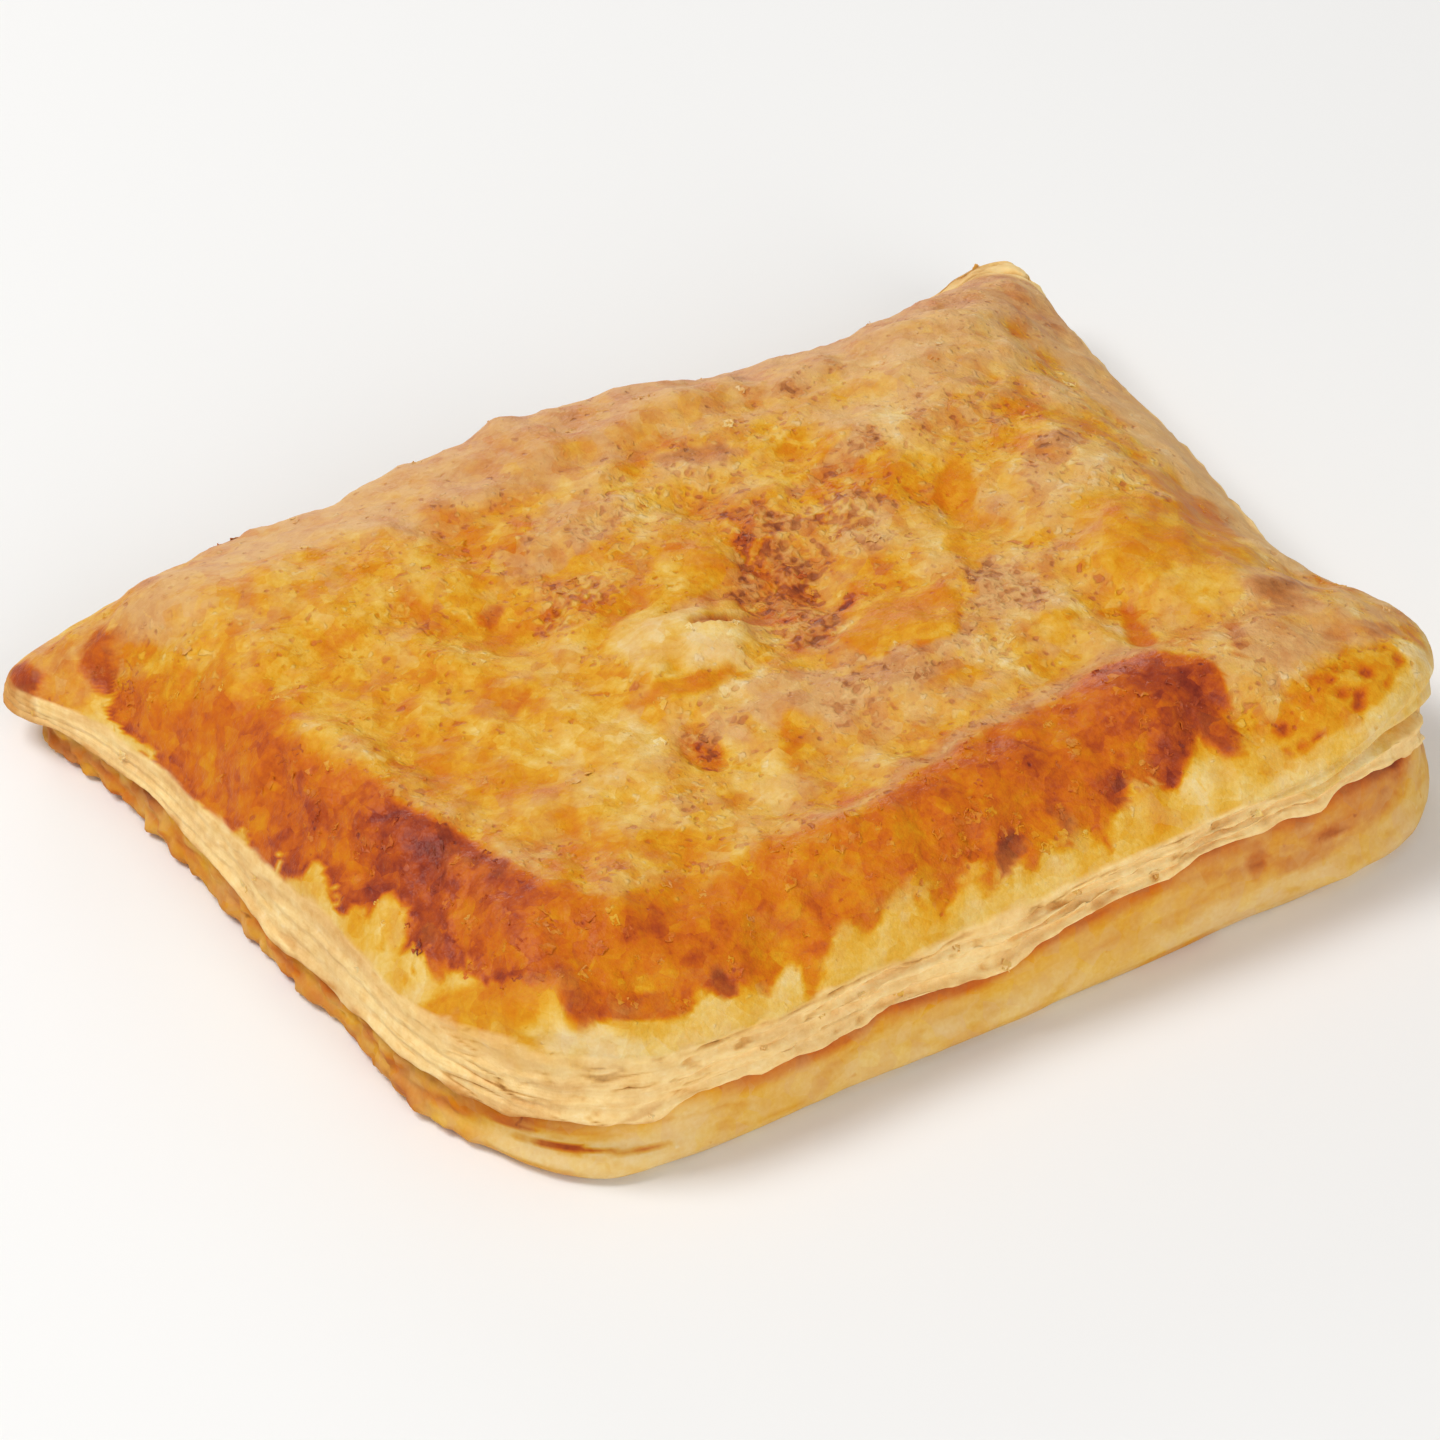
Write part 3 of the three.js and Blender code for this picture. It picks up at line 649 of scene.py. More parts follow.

# %% [markdown]
# ## Keep what the materials need
# A material can't see how a vertex got its place, so each measure that a colour depends on is stored in
# the mesh as an attribute. Two more are worked out first: `singed` for the toasted stretches of the cut
# edge, at the left tip, under the lip and in patches, and a measure of the shade that is painted into
# the depths between the leaves, under the crust's leaf, in the pits, the gape and the torn crevices.

# %% Store the attributes
under_lip_at_left = (1 - step(leaf + 0.10 * uneven(at, 4, 51), 0.10, 0.24)) * step(-at[:, 0], 46, 58)
toasted_spots = step(uneven(at, (5, 5, 1.6), 52), 0.45, 0.75) * (1 - step(leaf, 0.2, 0.5))
singed = 0.9 * step(tip + 0.3 * uneven(at, 3, 53), 0.6, 0.9) + 0.75 * under_lip_at_left + 0.6 * toasted_spots
singed = np.clip(singed + to_left * (0.14 + 0.4 * uneven(at, (7, 7, 2), 54)), 0, 1)
# painted shade in the crevices between the torn leaf ends round the front corner
crevice = rolled * (1 - step(np.abs(torn_ends), 0.03, 0.16)) * step(uneven(at, (5, 5, 3), 59), -0.1, 0.4)
# the shade painted into the cut edge: crevices, under the crust's leaf, pits and the gape, a little lighter
# where worn
groove_shade = 0.95 * crevice - 0.07 * np.maximum(rolled, to_left) + 0.7 * under_crust
groove_shade = groove_shade + 0.45 * pits * (1 - 0.7 * to_left) + 0.2 * gape
for key in ("bake", "tan", "speck"):
    paint(lid, key, np.clip(look[key], -0.3, 1.2))
paint(lid, "cut", np.clip(cut - 0.5 * rolled * step(leaf, 0.6, 1), 0, 1))
paint(lid, "leaves", count)
paint(lid, "groove_shade", np.clip(groove_shade, -0.3, 1) * cut)
paint(lid, "parted", parted * flush)
paint(lid, "rough", np.clip(0.18 + 0.62 * look["speck"] + 0.22 * band - 0.25 * pale, 0.1, 1.1) * crust)
paint(lid, "singed", singed)
paint(lid, "torn", torn)
only(lid)
bpy.ops.object.shade_smooth()
print("attributes:", [a.name for a in lid.data.attributes if not a.name.startswith(".")])

# %% [markdown]
# ## The base
# The lower sheet was pressed thin and fried on its tray, so its side is smooth and only slightly split.
# It gets faint level creases, a few blisters, and browned places: round the front corner, where a dark
# line runs along a split, and near the right corner. Its colour is a little darker higher up the side
# and lighter just above the tray. Under the lid's lip a shadow is painted into the colour, darkest just
# below the lip and fading downwards, so the colour asks how far each place lies below the lip.

# %% Brown the base and paint the shadow under its lip
SCARS = [
    # x, y, half length, half width, height of its middle, half height: bake
    (-62, -42, 7, 7, 4.9, 0.7, 0.72),
    (-57, -49, 9.0, 6, 3.6, 0.45, 0.80),
    (-60, -45, 8, 7, 0.9, 1.0, 0.40),
    (41, -56, 4.5, 5, 8.6, 1.0, 0.80),
    (37, -56, 5, 5, 6.6, 1.6, 0.52),
    (30, -56, 1.6, 5, 9.0, 2.2, 0.66),
    (46, -55, 7, 6, 9.6, 2.4, 0.52),
    (57, -49, 5, 6, 7.0, 3.4, 0.24),
    (-36, -55, 2.6, 4, 9.4, 1.0, 0.56),
    (20, -55.5, 7, 4, 1.0, 1.0, 0.42),
    (60, 20, 8, 14, 4, 3, 0.46),
    (10, 55, 24, 8, 4, 3, 0.48),
]


def nearest_height(line, targets):
    """The height of a line of points at the place nearest to each target, seen from above."""
    tree = KDTree(len(line))
    for i, p in enumerate(line):
        tree.insert((p[0], p[1], 0), i)
    tree.balance()
    return np.array([line[tree.find((p[0], p[1], 0))[1], 2] for p in targets])


base_row = values_of(base, "row")
base_at = places(base)
# the side lies between row 1, just off the tray, and row 6, where the lid covers the base
side = step(base_row, 0.6, 1.4) * (1 - step(base_row, 5.6, 6.4))
z = base_at[:, 2]
base_bake = 0.17 + 0.05 * uneven(base_at, (14, 14, 6), 41) + 0.03 * uneven(base_at, (5, 5, 3), 42)
# painted a little darker higher up the side and lighter just above the tray
base_bake += 0.05 * step(z, 3, 7) - 0.06 * (1 - step(z, 0.6, 1.8))
to_right = step(base_at[:, 0], 16, 24) * step(-base_at[:, 1], 34, 44)
base_bake += 0.14 * to_right * step(z + 0.8 * uneven(base_at, 8, 65), 5.2, 6.6) + 0.03
base_bake -= 0.08 * step(-base_at[:, 0], 40, 52) * step(-base_at[:, 1], 38, 48)
lip_z = nearest_height(at[np.abs(row - LID_ROWS["lip"]) < 0.01], base_at)
under_lip = np.clip(lip_z - z + 0.4 * uneven(base_at, (8, 8, 3), 49), 0, None)
# painted shadow under the lid's lip: darkest just below it, fading downwards, weaker round the front corner
painted_lip_shadow = 0.42 * (1 - step(under_lip, 1.5, 3.8)) + 0.14 * np.exp(-under_lip / 3.5)
painted_lip_shadow *= 1 - 0.6 * hill(base_at, -50, -54, 12, 8)
base_bake += painted_lip_shadow * (0.85 + 0.3 * uneven(base_at, (14, 14, 9), 64))
base_tear = 0.35 * uneven(base_at, (4, 4, 1.6), 43) + 0.2 * uneven(base_at, (1.6, 1.6, 0.9), 44)
for x, y, long, wide, height, tall, bake in SCARS:
    away = ((base_at[:, 0] - x) / long) ** 2 + ((base_at[:, 1] - y) / wide) ** 2
    away = np.sqrt(away + ((z - height) / tall) ** 2)
    base_bake += 0.9 * (1 - step(away + base_tear, 0.6, 1.2)) * (bake - base_bake)
left = step(-base_at[:, 0], 50, 62) * (1 - step(base_at[:, 1], 44, 52)) * step(base_at[:, 1], -44, -36)
base_bake += left * (0.47 + 0.20 * uneven(base_at, (4, 4, 1.4), 61) - base_bake)
print(f"base bake from {base_bake.min():.2f} to {base_bake.max():.2f}")

# %% [markdown]
# ## Shape the base's side
# At the left the base's edge is a fringe of small teeth, and along the front it is a little fuller than
# the solid in some places. Both are added to the creases and blisters, and nothing moves on the flat
# underside.

# %% Creases, teeth and fuller stretches
# x of a fuller stretch along the front, reach and rise, in mm
FULLER = [(52, 7, 1.0), (43, 8, 1.0), (-12, 16, 1.1), (-56, 7, 1.4)]
creases = uneven(base_at, (16, 16, 2.6), 45)
relief = 0.22 * uneven(base_at, (9, 9, 5), 46) + 0.10 * uneven(base_at, (2.4, 2.4, 1.6), 47)
relief -= 0.30 * (1 - step(np.abs(creases), 0.02, 0.16)) * step(uneven(base_at, 10, 48), -0.2, 0.5)
broad, fine = uneven(base_at, (3.4, 3.4, 2.4), 62), uneven(base_at, (1.4, 1.4, 1), 63)
teeth = left * (np.abs(broad) + 0.5 * np.abs(fine) - 0.15)
fuller = 0.3 * hill(base_at, -63, 18, 12, 20)
for x, reach, rise in FULLER:
    fuller += rise * hill(base_at, x, -54, reach, 9) * (1 - step(z, 1.5, 6))
fuller -= 0.6 * hill(base_at, 61, -46, 6, 6) * step(z, 5, 7)
push(base, base_at, ((relief + teeth) * step(z, 0.05, 0.8) + fuller * step(z, 0, 0.3)) * side)
paint(base, "bake", np.clip(base_bake, 0, 1.2))
paint(base, "tan", 0.36 + 0.14 * to_right)
paint(base, "crease", (1 - step(np.abs(creases), 0.02, 0.2)) * side)
only(base)
bpy.ops.object.shade_smooth()
print(f"base relief from {relief.min():.2f} to {relief.max():.2f} mm")

# %% [markdown]
# ## Building materials from nodes
# A colour picked on a screen is sRGB, and Blender mixes light in linear values, so one function
# converts it. Another adds a node, sets it up and links it in a single line, which keeps a long chain
# readable. All three pastries scatter some light below their surface, red farther than blue, which
# keeps them from looking like clay.

# %% Helpers for materials
PASTRY_IOR = 1.45
GLOW_REACH = (1.0, 0.55, 0.25)


def linear(hex_colour):
    """An sRGB hex colour as Blender's linear RGBA."""
    parts = [int(hex_colour[i:i + 2], 16) / 255 for i in (1, 3, 5)]
    return tuple(c / 12.92 if c <= 0.04045 else ((c + 0.055) / 1.055) ** 2.4 for c in parts) + (1.0,)


def node(tree, kind, inputs=None, ramp=None, **settings):
    """Adds a node. inputs holds values or other nodes' sockets, and ramp the stops of a colour ramp."""
    made = tree.nodes.new("ShaderNode" + kind)
    for name, value in settings.items():
        setattr(made, name, value)
    for socket, value in (inputs or {}).items():
        if isinstance(value, bpy.types.NodeSocket):
            tree.links.new(value, made.inputs[socket])
        else:
            made.inputs[socket].default_value = value
    if ramp:
        stops = made.color_ramp.elements
        while len(stops) < len(ramp):
            stops.new(0.5)
        for stop, (place, colour) in zip(stops, ramp):
            stop.position, stop.color = place, linear(colour)
    return made


def empty_material(name):
    """A new material without nodes, its node tree and the positions on the object."""
    material = bpy.data.materials.new(name)
    material.use_nodes = True
    tree = material.node_tree
    tree.nodes.clear()
    return material, tree, node(tree, "TexCoord").outputs["Object"]


print("linear value of a middle grey:", round(linear("#808080")[0], 3))

# %% [markdown]
# ## Baked crust
# Browning is sugar and protein darkening with heat, so one colour ramp can carry it all: from raw cream
# over gold and orange to a red brown that is nearly black. Where the glaze stayed thin, the same heat
# gives a duller, rosier tan, so a second ramp is mixed in; it also carries the sheen that is painted at
# the back and just inside the front crest. Noise at the size of a blister and of a fine bubble shifts
# the place on the ramp. Brown flecks are broken bubbles about a millimetre wide: the peaks of a fine
# noise, kept only where `speck` says so. Egg wash leaves a satin shine on the brown, and bare pastry is
# matt.

# %% Colours of baked pastry
GOLD = [
    (0.00, "#ECD294"), (0.12, "#E7C068"), (0.22, "#E1AE40"), (0.32, "#DC9C1C"), (0.42, "#D5880A"),
    (0.53, "#D07406"), (0.64, "#C8620E"), (0.76, "#B04A16"), (0.88, "#94381C"), (1.00, "#762618"),
]
ROSY = [
    (0.00, "#E4C491"), (0.20, "#DDAE6E"), (0.36, "#D49E60"), (0.50, "#C8884E"), (0.64, "#B06E38"),
    (0.80, "#8C4E26"), (1.00, "#5C3020"),
]
CREAM = [
    (0.00, "#9C6A30"), (0.22, "#D8A45C"), (0.46, "#F0C57C"), (0.72, "#FADA9A"), (1.00, "#FFF0CE"),
]
GILT = [(0, "#844620"), (0.45, "#C4803A"), (0.75, "#DCA258"), (1, "#E8BE78")]
print("colour stops:", [len(ramp) for ramp in (GOLD, ROSY, CREAM, GILT)])

# %% [markdown]
# ## Mottling, bubbles and flecks
# Every pattern has the size of something real: blotches of 6 mm, mottling of 2.3 mm, leaflets of 2.2
# mm, bubbles of 1.5 mm, flecks of 1.25 mm and a grain of half a millimetre. They are added up, each
# with its weight, into one place on the ramps. The lid, the base and the flakes share all this, and
# differ in how strongly it is used. On the lid each torn leaf also gets a little browner towards its
# end, by the fractional part of `torn`.

# %% The colour of a baked crust
def chain(tree, start, *terms):
    """start plus each value times its weight, as a row of multiply-add nodes."""
    for value, weight in terms:
        start = node(tree, "Math", {0: value, 1: weight, 2: start}, operation="MULTIPLY_ADD").outputs[0]
    return start


def crust_colour(tree, place, bake, tan, speck, rough, contrast=1.0):
    """The colour of baked crust, its fine height, and how far it is baked."""
    blotch = node(tree, "TexNoise", {
        "Vector": place, "Scale": 1 / (6 * MM), "Detail": 3, "Roughness": 0.55})
    blotch = node(tree, "SeparateColor", {0: blotch.outputs["Color"]}).outputs
    mottle = node(tree, "TexNoise", {
        "Vector": place, "Scale": 1 / (2.3 * MM), "Detail": 4, "Roughness": 0.62})
    bent = node(tree, "VectorMath", {0: mottle.outputs["Color"], 1: (0.8 * MM,) * 3, 2: place},
                operation="MULTIPLY_ADD").outputs[0]
    mottle = node(tree, "SeparateColor", {0: mottle.outputs["Color"]}).outputs
    bubble = node(tree, "TexVoronoi", {"Vector": bent, "Scale": 1 / (1.5 * MM)}).outputs["Distance"]
    grain = node(tree, "TexNoise", {"Vector": place, "Scale": 1 / (0.55 * MM), "Detail": 2}).outputs[0]
    fleck = node(tree, "TexNoise", {"Vector": place, "Scale": 1 / (1.25 * MM), "Detail": 1}).outputs[0]

    # flecks and pale dots: the more speck, the lower the bar that the noise has to pass. Map Range's inputs
    # 1 and 2 are the range that it reads, and 3 and 4 the range that it gives.
    patchy = chain(tree, 0.1, (blotch[2], 1.8))
    reach = node(tree, "Math", {0: speck, 1: patchy}, operation="MULTIPLY").outputs[0]
    start = node(tree, "MapRange", {0: reach, 1: 0.1, 2: 1.1, 3: 0.76, 4: 0.50}).outputs[0]
    end = chain(tree, 0.10, (start, 1))
    leaflet = node(tree, "TexVoronoi", {"Vector": bent, "Scale": 1 / (2.2 * MM)}).outputs["Color"]
    leaflet = node(tree, "SeparateColor", {0: leaflet}).outputs
    spots = node(tree, "MapRange", {0: fleck, 1: start, 2: end}).outputs[0]
    other = chain(tree, 1, (fleck, -1))
    dots = node(tree, "MapRange", {0: other, 1: start, 2: end}).outputs[0]

    # a rough place is mottled more strongly, and evened keeps its mean where bake puts it
    lively = chain(tree, 0.24, (rough, 0.50))
    mottled = node(tree, "Math", {0: mottle[0], 1: lively}, operation="MULTIPLY").outputs[0]
    evened = chain(tree, -0.245, (lively, -0.5))
    pitted = node(tree, "Math", {0: bubble, 1: rough}, operation="MULTIPLY").outputs[0]
    flaky = node(tree, "Math", {0: leaflet[0], 1: -0.5}, operation="ADD").outputs[0]
    flaky = node(tree, "Math", {0: flaky, 1: lively}, operation="MULTIPLY").outputs[0]
    deeper = node(tree, "Math", {0: bake, 1: evened}, operation="ADD").outputs[0]
    total = chain(
        tree, deeper, (flaky, 0.32 * contrast), (blotch[0], 0.36 * contrast), (mottled, contrast),
        (pitted, 0.20), (rough, -0.09), (grain, 0.13), (spots, 0.19), (dots, -0.11))
    gold = node(tree, "ValToRGB", {0: total}, ramp=GOLD).outputs[0]
    rosy = node(tree, "ValToRGB", {0: total}, ramp=ROSY).outputs[0]
    rosiness = chain(
        tree, tan, (blotch[1], 0.9), (mottle[1], 0.9), (leaflet[1], 0.4), (spots, 0.3), (dots, 0.2))
    rosiness = node(tree, "Math", {0: rosiness, 1: -1.1}, operation="ADD", use_clamp=True).outputs[0]
    colour = node(tree, "Mix", {0: rosiness, 6: gold, 7: rosy}, data_type="RGBA").outputs[2]
    high = chain(
        tree, 0.5, (mottle[0], -0.5), (mottle[2], 0.7), (pitted, -0.55), (grain, 0.22),
        (dots, 0.3), (spots, -0.3))
    return colour, high, total


LID_MEASURES = ("bake", "tan", "speck", "cut", "leaves", "groove_shade", "torn", "parted", "rough", "singed")
lid_finish, tree, place = empty_material("egg-washed puff pastry")
kept = {n: node(tree, "Attribute", attribute_name=n).outputs["Fac"] for n in LID_MEASURES}
flap = node(tree, "Math", {0: kept["torn"]}, operation="FRACT")
browner = node(tree, "Math", {0: flap.outputs[0], 1: 0.04, 2: kept["bake"]}, operation="MULTIPLY_ADD")
browner = node(tree, "Math", {0: browner.outputs[0], 1: 0.05}, operation="ADD")
colour, high, total = crust_colour(
    tree, place, browner.outputs[0], kept["tan"], kept["speck"], kept["rough"], contrast=0.82)
print("crust nodes:", len(tree.nodes))

# %% [markdown]
# ## Cut leaves
# Inside the pastry the leaves never met the oven's dry heat, so they are cream, with shade painted into
# each groove between them and into the pits and crevices. The `leaves` attribute counts them up the
# edge, so its fractional part is the place within one leaf. Finer leaves than the mesh can hold are drawn
# by multiplying it. Short stretches are toasted, where a slow noise or `singed` says so.

# %% The lid's cut edge
wobble = node(tree, "TexNoise", {"Vector": place, "Scale": 1 / (2.6 * MM), "Detail": 3})
finer = node(tree, "Math", {0: kept["leaves"], 1: 3.0, 2: wobble.outputs[0]}, operation="MULTIPLY_ADD")
thin = node(tree, "Math", {0: finer.outputs[0], 1: 0.5}, operation="PINGPONG")
coarse = node(tree, "Math", {0: kept["leaves"], 1: 0.5}, operation="PINGPONG")
stripes = node(tree, "Math", {0: thin.outputs[0], 1: 0.07, 2: 0.31}, operation="MULTIPLY_ADD")
opened = node(tree, "Math", {0: coarse.outputs[0], 1: kept["parted"]}, operation="MULTIPLY")
shade = node(tree, "Math", {0: opened.outputs[0], 1: 0.14, 2: stripes.outputs[0]}, operation="MULTIPLY_ADD")
mealy = node(tree, "TexNoise", {
    "Vector": place, "Scale": 1 / (1.7 * MM), "Detail": 4, "Roughness": 0.62})
mixed = node(tree, "Math", {0: mealy.outputs[0], 1: 0.75, 2: shade.outputs[0]}, operation="MULTIPLY_ADD")
# the painted shade of grooves, pits and crevices darkens the cream
sunk = node(tree, "Math", {0: kept["groove_shade"], 1: -0.62, 2: mixed.outputs[0]}, operation="MULTIPLY_ADD")
tone = node(tree, "Math", {0: sunk.outputs[0], 1: -0.12}, operation="ADD", use_clamp=True)
cream = node(tree, "ValToRGB", {0: tone.outputs[0]}, ramp=CREAM)
toast = node(tree, "TexNoise", {"Vector": place, "Scale": 1 / (8 * MM), "Detail": 3})
toasted = node(tree, "MapRange", {0: toast.outputs[0], 1: 0.5, 2: 0.72, 3: 0.0, 4: 0.4})
toasted = node(tree, "Math", {0: toasted.outputs[0], 1: kept["singed"]}, operation="MAXIMUM")
gilt = node(tree, "ValToRGB", {0: tone.outputs[0]}, ramp=GILT)
cut_colour = node(
    tree, "Mix", {0: toasted.outputs[0], 6: cream.outputs[0], 7: gilt.outputs[0]}, data_type="RGBA")
skin = node(tree, "Mix", {0: kept["cut"], 6: colour, 7: cut_colour.outputs[2]}, data_type="RGBA")
print("with the cut edge:", len(tree.nodes))

# %% [markdown]
# ## The lid's shine and fine relief
# Baked egg wash has a satin gloss, most where it is brownest, and the cut edge has none. Relief finer
# than the mesh is left to a bump, which only bends the light.

# %% Finish the lid's material
shine = node(tree, "MapRange", {0: total, 1: 0.2, 2: 0.8, 3: 0.58, 4: 0.40})
dull = node(tree, "Mix", {0: kept["cut"], 2: shine.outputs[0], 3: 0.85})
relief_in = node(tree, "Mix", {0: kept["cut"], 2: high, 3: mixed.outputs[0]})
bump = node(tree, "Bump", {"Strength": 0.9, "Distance": 0.45 * MM, "Height": relief_in.outputs[0]})
body = node(tree, "BsdfPrincipled", {
    "Base Color": skin.outputs[2], "Roughness": dull.outputs[0], "Normal": bump.outputs[0],
    "IOR": PASTRY_IOR, "Specular IOR Level": 0.2,
    "Subsurface Weight": 0.08, "Subsurface Radius": GLOW_REACH, "Subsurface Scale": 1.2 * MM,
})
node(tree, "OutputMaterial", {0: body.outputs[0]})
lid.data.materials.append(lid_finish)
print("lid material:", len(tree.nodes), "nodes")

# %% [markdown]
# ## Loose flakes
# A fried crust sheds thin flakes that lie on it and catch the light at their curled edges. Five shapes
# are enough. Each starts as a small grid, its corners are shaken out of line, a bend curls it and
# Solidify gives it the thickness of a leaf. Hundreds of copies would show their pattern if they were
# turned alike, so every copy has its own turn, tilt and size.

# %% Model five flakes
FLAKE_SHAPES = 5
LEAF_THICKNESS = 0.09 * MM


def flake_shape(index):
    """One loose flake about a millimetre long. Each index is wider and more curled than the last."""
    bpy.ops.mesh.primitive_grid_add(x_subdivisions=4, y_subdivisions=3, size=1 * MM)
    piece = bpy.context.active_object
    piece.name = f"flake_shape_{index}"
    bpy.ops.object.mode_set(mode="EDIT")
    bpy.ops.transform.resize(value=(1, 0.55 + 0.08 * index, 1))
    bpy.ops.transform.vertex_random(offset=0.16 * MM, uniform=0.6, normal=0.1, seed=index)
    bpy.ops.object.mode_set(mode="OBJECT")
    curl = piece.modifiers.new("curl", "SIMPLE_DEFORM")
    curl.deform_method, curl.deform_axis, curl.angle = "BEND", "Y", math.radians(14 + 9 * index)
    leaf_thick = piece.modifiers.new("leaf", "SOLIDIFY")
    leaf_thick.thickness, leaf_thick.offset = LEAF_THICKNESS, 0
    for modifier in (curl.name, leaf_thick.name):
        bpy.ops.object.modifier_apply(modifier=modifier)
    return piece


shapes = [flake_shape(i) for i in range(FLAKE_SHAPES)]
print("flake shapes:", [len(piece.data.polygons) for piece in shapes], "faces")

# %% [markdown]
# ## Scatter and join them
# A face of the lid is drawn by lot, with better odds where the crust is browned or speckled and on the
# cut edge. The flake takes over that place's browning, a little lighter or darker. Joined, all flakes
# are one mesh.

# %% Draw a face and lay a flake on it
def face_places(piece, weight):
    """Middle, normal, first vertex and chance of every face."""
    faces = piece.data.polygons
    count = len(faces)
    middle, normal, area = np.zeros(count * 3), np.zeros(count * 3), np.zeros(count)
    faces.foreach_get("center", middle)
    faces.foreach_get("normal", normal)
    faces.foreach_get("area", area)
    first = np.array([f.vertices[0] for f in faces])
    odds = area * weight[first]
    return middle.reshape(-1, 3), normal.reshape(-1, 3), first, odds / odds.sum()


def scatter(piece, shapes, count, weight, size, tilt, sink, shades, seed):
    """Copies of the shapes on faces drawn by weight. size is a range of scales, and sink is in mm."""
    rng = np.random.default_rng(seed)
    middle, normal, first, odds = face_places(piece, weight)
    made = []
    for k, face in enumerate(rng.choice(len(odds), count, p=odds)):
        copy = bpy.data.objects.new("flake", shapes[k % len(shapes)].data.copy())
        scale = rng.uniform(*size)
        turn = Matrix.Rotation(rng.uniform(0, 2 * math.pi), 4, "Z")
        turn = turn @ Matrix.Rotation(rng.normal(0, tilt), 4, "X")
        up = Vector(normal[face])
        lie_flat = up.to_track_quat("Z", "Y").to_matrix().to_4x4()
        place = Matrix.Translation(Vector(middle[face]) + up * sink * MM) @ lie_flat
        copy.data.transform(place @ turn @ Matrix.Diagonal((scale, scale, 1, 1)))
        for name, value in shades(first[face], rng).items():
            paint(copy, name, np.full(len(copy.data.vertices), value))
        bpy.context.scene.collection.objects.link(copy)
        made.append(copy)
    return made


print("faces to draw from:", len(lid.data.polygons))

# %% Scatter and join the flakes
ON_CRUST, ON_CUT = 420, 45


def crust_shade(v, rng):
    """Nearly the browning of the crust's vertex v."""
    bake = look["bake"][v] + rng.normal(-0.05, 0.07)
    tan = look["tan"][v] + rng.normal(0, 0.2)
    return {"bake": float(np.clip(bake, 0.05, 0.95)), "tan": float(np.clip(tan, 0, 1))}


def cut_shade(v, rng):
    """Hardly baked at all, wherever it lies."""
    return {"bake": rng.uniform(0.05, 0.25), "tan": rng.uniform(0.2, 0.6)}


corner = step(at[:, 0], 34, 50) * step(-at[:, 1], 30, 42)
flaky = 0.06 + 0.6 * band + 0.6 * step(look["speck"], 0.6, 1.1)
on_crust = crust * step(inset, 2, 5) * flaky * (1 - corner)
on_cut = cut * step(leaf, 0.15, 0.25) * (1 - step(leaf, 0.75, 0.9)) * (1 - corner)
copies = scatter(lid, shapes, ON_CRUST, on_crust, (0.6, 1.7), 0.10, -0.02, crust_shade, seed=71)
copies += scatter(lid, shapes, ON_CUT, on_cut, (0.6, 1.4), 0.22, 0.0, cut_shade, seed=72)
bpy.ops.object.select_all(action="DESELECT")
for piece in copies:
    piece.select_set(True)
bpy.context.view_layer.objects.active = copies[0]
bpy.ops.object.join()
flakes = bpy.context.active_object
flakes.name = flakes.data.name = "crust_flakes"
for piece in shapes:
    bpy.data.objects.remove(piece)
only(flakes)
bpy.ops.object.mode_set(mode="EDIT")
bpy.ops.mesh.select_all(action="SELECT")
bpy.ops.mesh.normals_make_consistent(inside=False)
bpy.ops.object.mode_set(mode="OBJECT")
print(f"{len(copies)} flakes, {sum(len(f.vertices) - 2 for f in flakes.data.polygons)} triangles")

# %% [markdown]
# ## Dry flakes
# A flake is a single dry leaf, fried in its own butter, so it has the crust's colours without its
# flecks and bubbles, and it is glossier than the crust that it lies on.

# %% The flakes' material
flake_finish, tree, place = empty_material("dry pastry flake")
bake = node(tree, "Attribute", attribute_name="bake").outputs["Fac"]
tan = node(tree, "Attribute", attribute_name="tan").outputs["Fac"]
colour = crust_colour(tree, place, bake, tan, speck=0.2, rough=0.3)[0]
body = node(tree, "BsdfPrincipled", {
    "Base Color": colour, "Roughness": 0.5, "IOR": PASTRY_IOR, "Specular IOR Level": 0.35,
    "Subsurface Weight": 0.1, "Subsurface Radius": GLOW_REACH, "Subsurface Scale": 0.6 * MM,
})
node(tree, "OutputMaterial", {0: body.outputs[0]})
flakes.data.materials.append(flake_finish)
print("flake material:", len(tree.nodes), "nodes")

# %% [markdown]
# ## Plain baked base
# The base had no egg, so it is even gold and matt, darkest in its scars, with a little shade painted
# along its creases.

# %% The base's material
base_finish, tree, place = empty_material("plain baked puff pastry")
bake = node(tree, "Attribute", attribute_name="bake").outputs["Fac"]
tan = node(tree, "Attribute", attribute_name="tan").outputs["Fac"]
crease = node(tree, "Attribute", attribute_name="crease").outputs["Fac"]
# a little painted shade along the creases
bake_and_crease_shade = node(tree, "Math", {0: crease, 1: 0.10, 2: bake}, operation="MULTIPLY_ADD")
pocks = node(tree, "TexNoise", {"Vector": place, "Scale": 1 / (7 * MM), "Detail": 2})
few = node(tree, "MapRange", {0: pocks.outputs[0], 1: 0.5, 2: 0.8, 3: 0.0, 4: 0.5})
bake_and_crease_shade = node(tree, "Math", {0: bake_and_crease_shade.outputs[0], 1: 0.12}, operation="ADD")
colour, high, total = crust_colour(
    tree, place, bake_and_crease_shade.outputs[0], tan, few.outputs[0], rough=0.12, contrast=0.45)
bump = node(tree, "Bump", {"Strength": 0.5, "Distance": 0.25 * MM, "Height": high})
body = node(tree, "BsdfPrincipled", {
    "Base Color": colour, "Roughness": 0.62, "Normal": bump.outputs[0],
    "IOR": PASTRY_IOR, "Specular IOR Level": 0.2,
    "Subsurface Weight": 0.08, "Subsurface Radius": GLOW_REACH, "Subsurface Scale": 1.2 * MM,
})
node(tree, "OutputMaterial", {0: body.outputs[0]})
base.data.materials.append(base_finish)
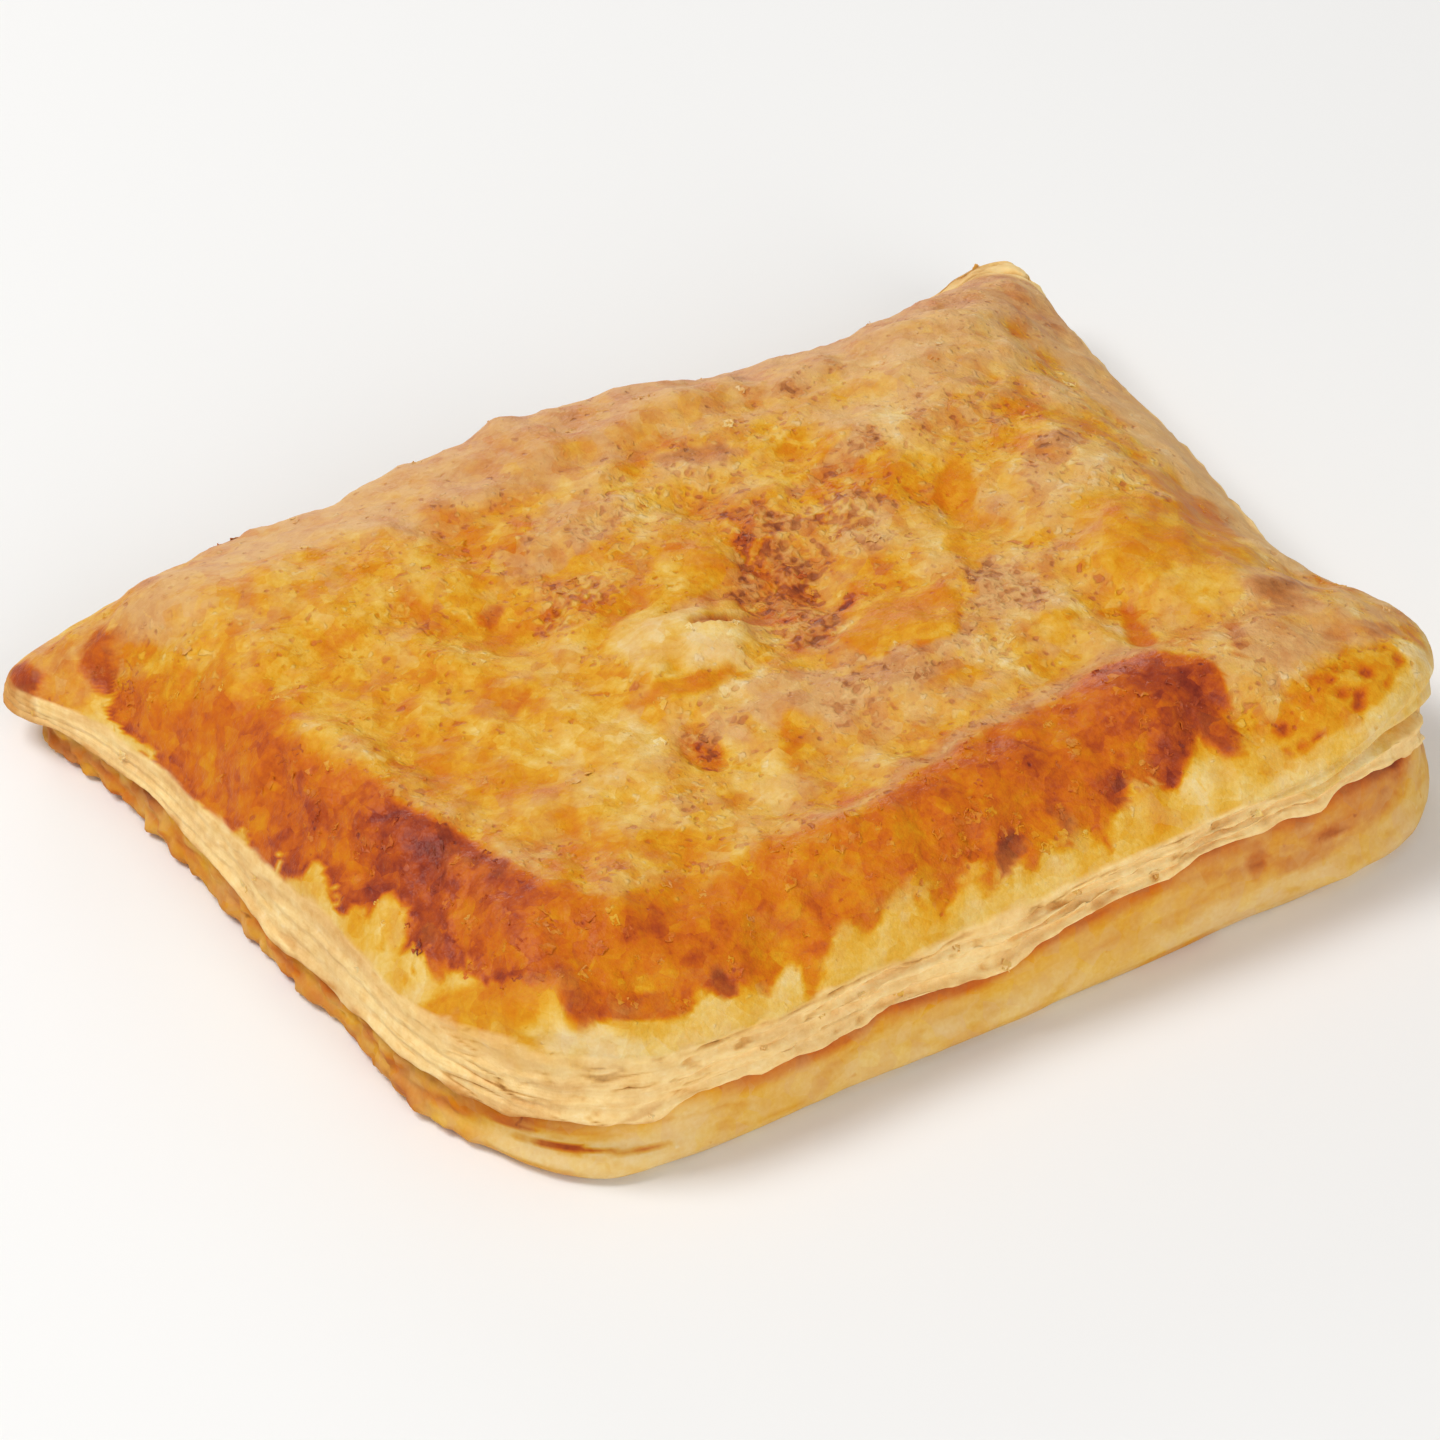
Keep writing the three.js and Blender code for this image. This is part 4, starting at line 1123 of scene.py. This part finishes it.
print("base material:", len(tree.nodes), "nodes")

# %% [markdown]
# ## Hand the pieces over
# Each piece moves with the part's one body and takes the place of its solid, which stays for physics.

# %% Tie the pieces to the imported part
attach(lid, "root")
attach(base, "root")
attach(flakes, "root")
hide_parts("pastry_lid")
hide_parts("pastry_base")
print("pieces:", lid.name, base.name, flakes.name)

# %% [markdown]
# ## A plain studio
# The pie stands on a pale floor in soft light. A white world fills the shadows. A softbox high up at
# the left gives the crust its form, a wider one near the camera lights the cut edge, and one low behind
# lays a sheen on the slopes that face away.

# %% Floor, lights and world
FLOOR_SIZE = 5
# the floor lies a hair below the pie, so that the two flat faces don't coincide
FLOOR_GAP = 0.05 * MM
bpy.ops.mesh.primitive_plane_add(size=FLOOR_SIZE, location=(0, 0, -FLOOR_GAP))
floor = bpy.context.active_object
floor.name = "pale_floor"
bpy.ops.object.transform_apply(location=True, rotation=True, scale=True)
floor_finish = bpy.data.materials.new("pale matt board")
floor_finish.use_nodes = True
paper = floor_finish.node_tree.nodes["Principled BSDF"]
paper.inputs["Base Color"].default_value = linear("#F4F3F1")
paper.inputs["Roughness"].default_value = 0.9
floor.data.materials.append(floor_finish)

# the middle of the picture, in metres
TARGET = Vector((-7.6, -2.5, 10.0)) * MM
# name, azimuth and elevation in degrees, distance and size in metres, power in watts
SOFTBOXES = [
    ("top softbox", -120, 58, 1.2, 0.5, 8.5),
    ("front softbox", -5, 26, 1.5, 0.9, 9.0),
    ("back strip", 160, 12, 1.2, 0.5, 3.0),
]


def direction(azimuth, elevation):
    """The way from the pie to a light or camera. Azimuth 0 is the front, and angles are in degrees."""
    a, e = math.radians(azimuth), math.radians(elevation)
    return Vector((math.sin(a) * math.cos(e), -math.cos(a) * math.cos(e), math.sin(e)))


def softbox(name, azimuth, elevation, distance, size, power):
    away = direction(azimuth, elevation)
    bpy.ops.object.light_add(type="AREA", location=TARGET + away * distance)
    lamp = bpy.context.active_object
    lamp.name = name
    lamp.rotation_euler = away.to_track_quat("Z", "Y").to_euler()
    lamp.data.size, lamp.data.energy = size, power


for light in SOFTBOXES:
    softbox(*light)
world = bpy.data.worlds.new("white room")
bpy.context.scene.world = world
world.use_nodes = True
sky = world.node_tree.nodes["Background"]
sky.inputs["Color"].default_value = (1, 1, 1, 1)
sky.inputs["Strength"].default_value = 0.36
bpy.context.scene.view_settings.view_transform = "Standard"

# %% [markdown]
# ## The camera
# The photographer stood well back and looked down on the front corner. A long lens gives the same calm
# perspective. The picture is square, 1440 pixels wide, and the focal length was measured in its pixels.

# %% Camera
AZIMUTH, ELEVATION, DISTANCE = -33, 38.5, 0.75
SENSOR_MM, PICTURE_PIXELS, FOCAL_PIXELS = 36, 1440, 6525
away = direction(AZIMUTH, ELEVATION)
bpy.ops.object.camera_add(location=TARGET + away * DISTANCE)
camera = bpy.context.active_object
camera.rotation_euler = away.to_track_quat("Z", "Y").to_euler()
camera.data.sensor_width = SENSOR_MM
camera.data.lens = SENSOR_MM * FOCAL_PIXELS / PICTURE_PIXELS
camera.data.clip_start = 0.01
bpy.context.scene.camera = camera
print(f"lens {camera.data.lens:.1f} mm at {DISTANCE} m")

# %% [markdown]
# ## Count the triangles
# The triangles of each dressed piece are counted and printed. The dressed pie has to fill the
# imported part's box and hardly more.

# %% Sizes
for piece in (lid, base, flakes):
    triangles = sum(len(f.vertices) - 2 for f in piece.data.polygons)
    print(f"{piece.name}: {triangles} triangles")
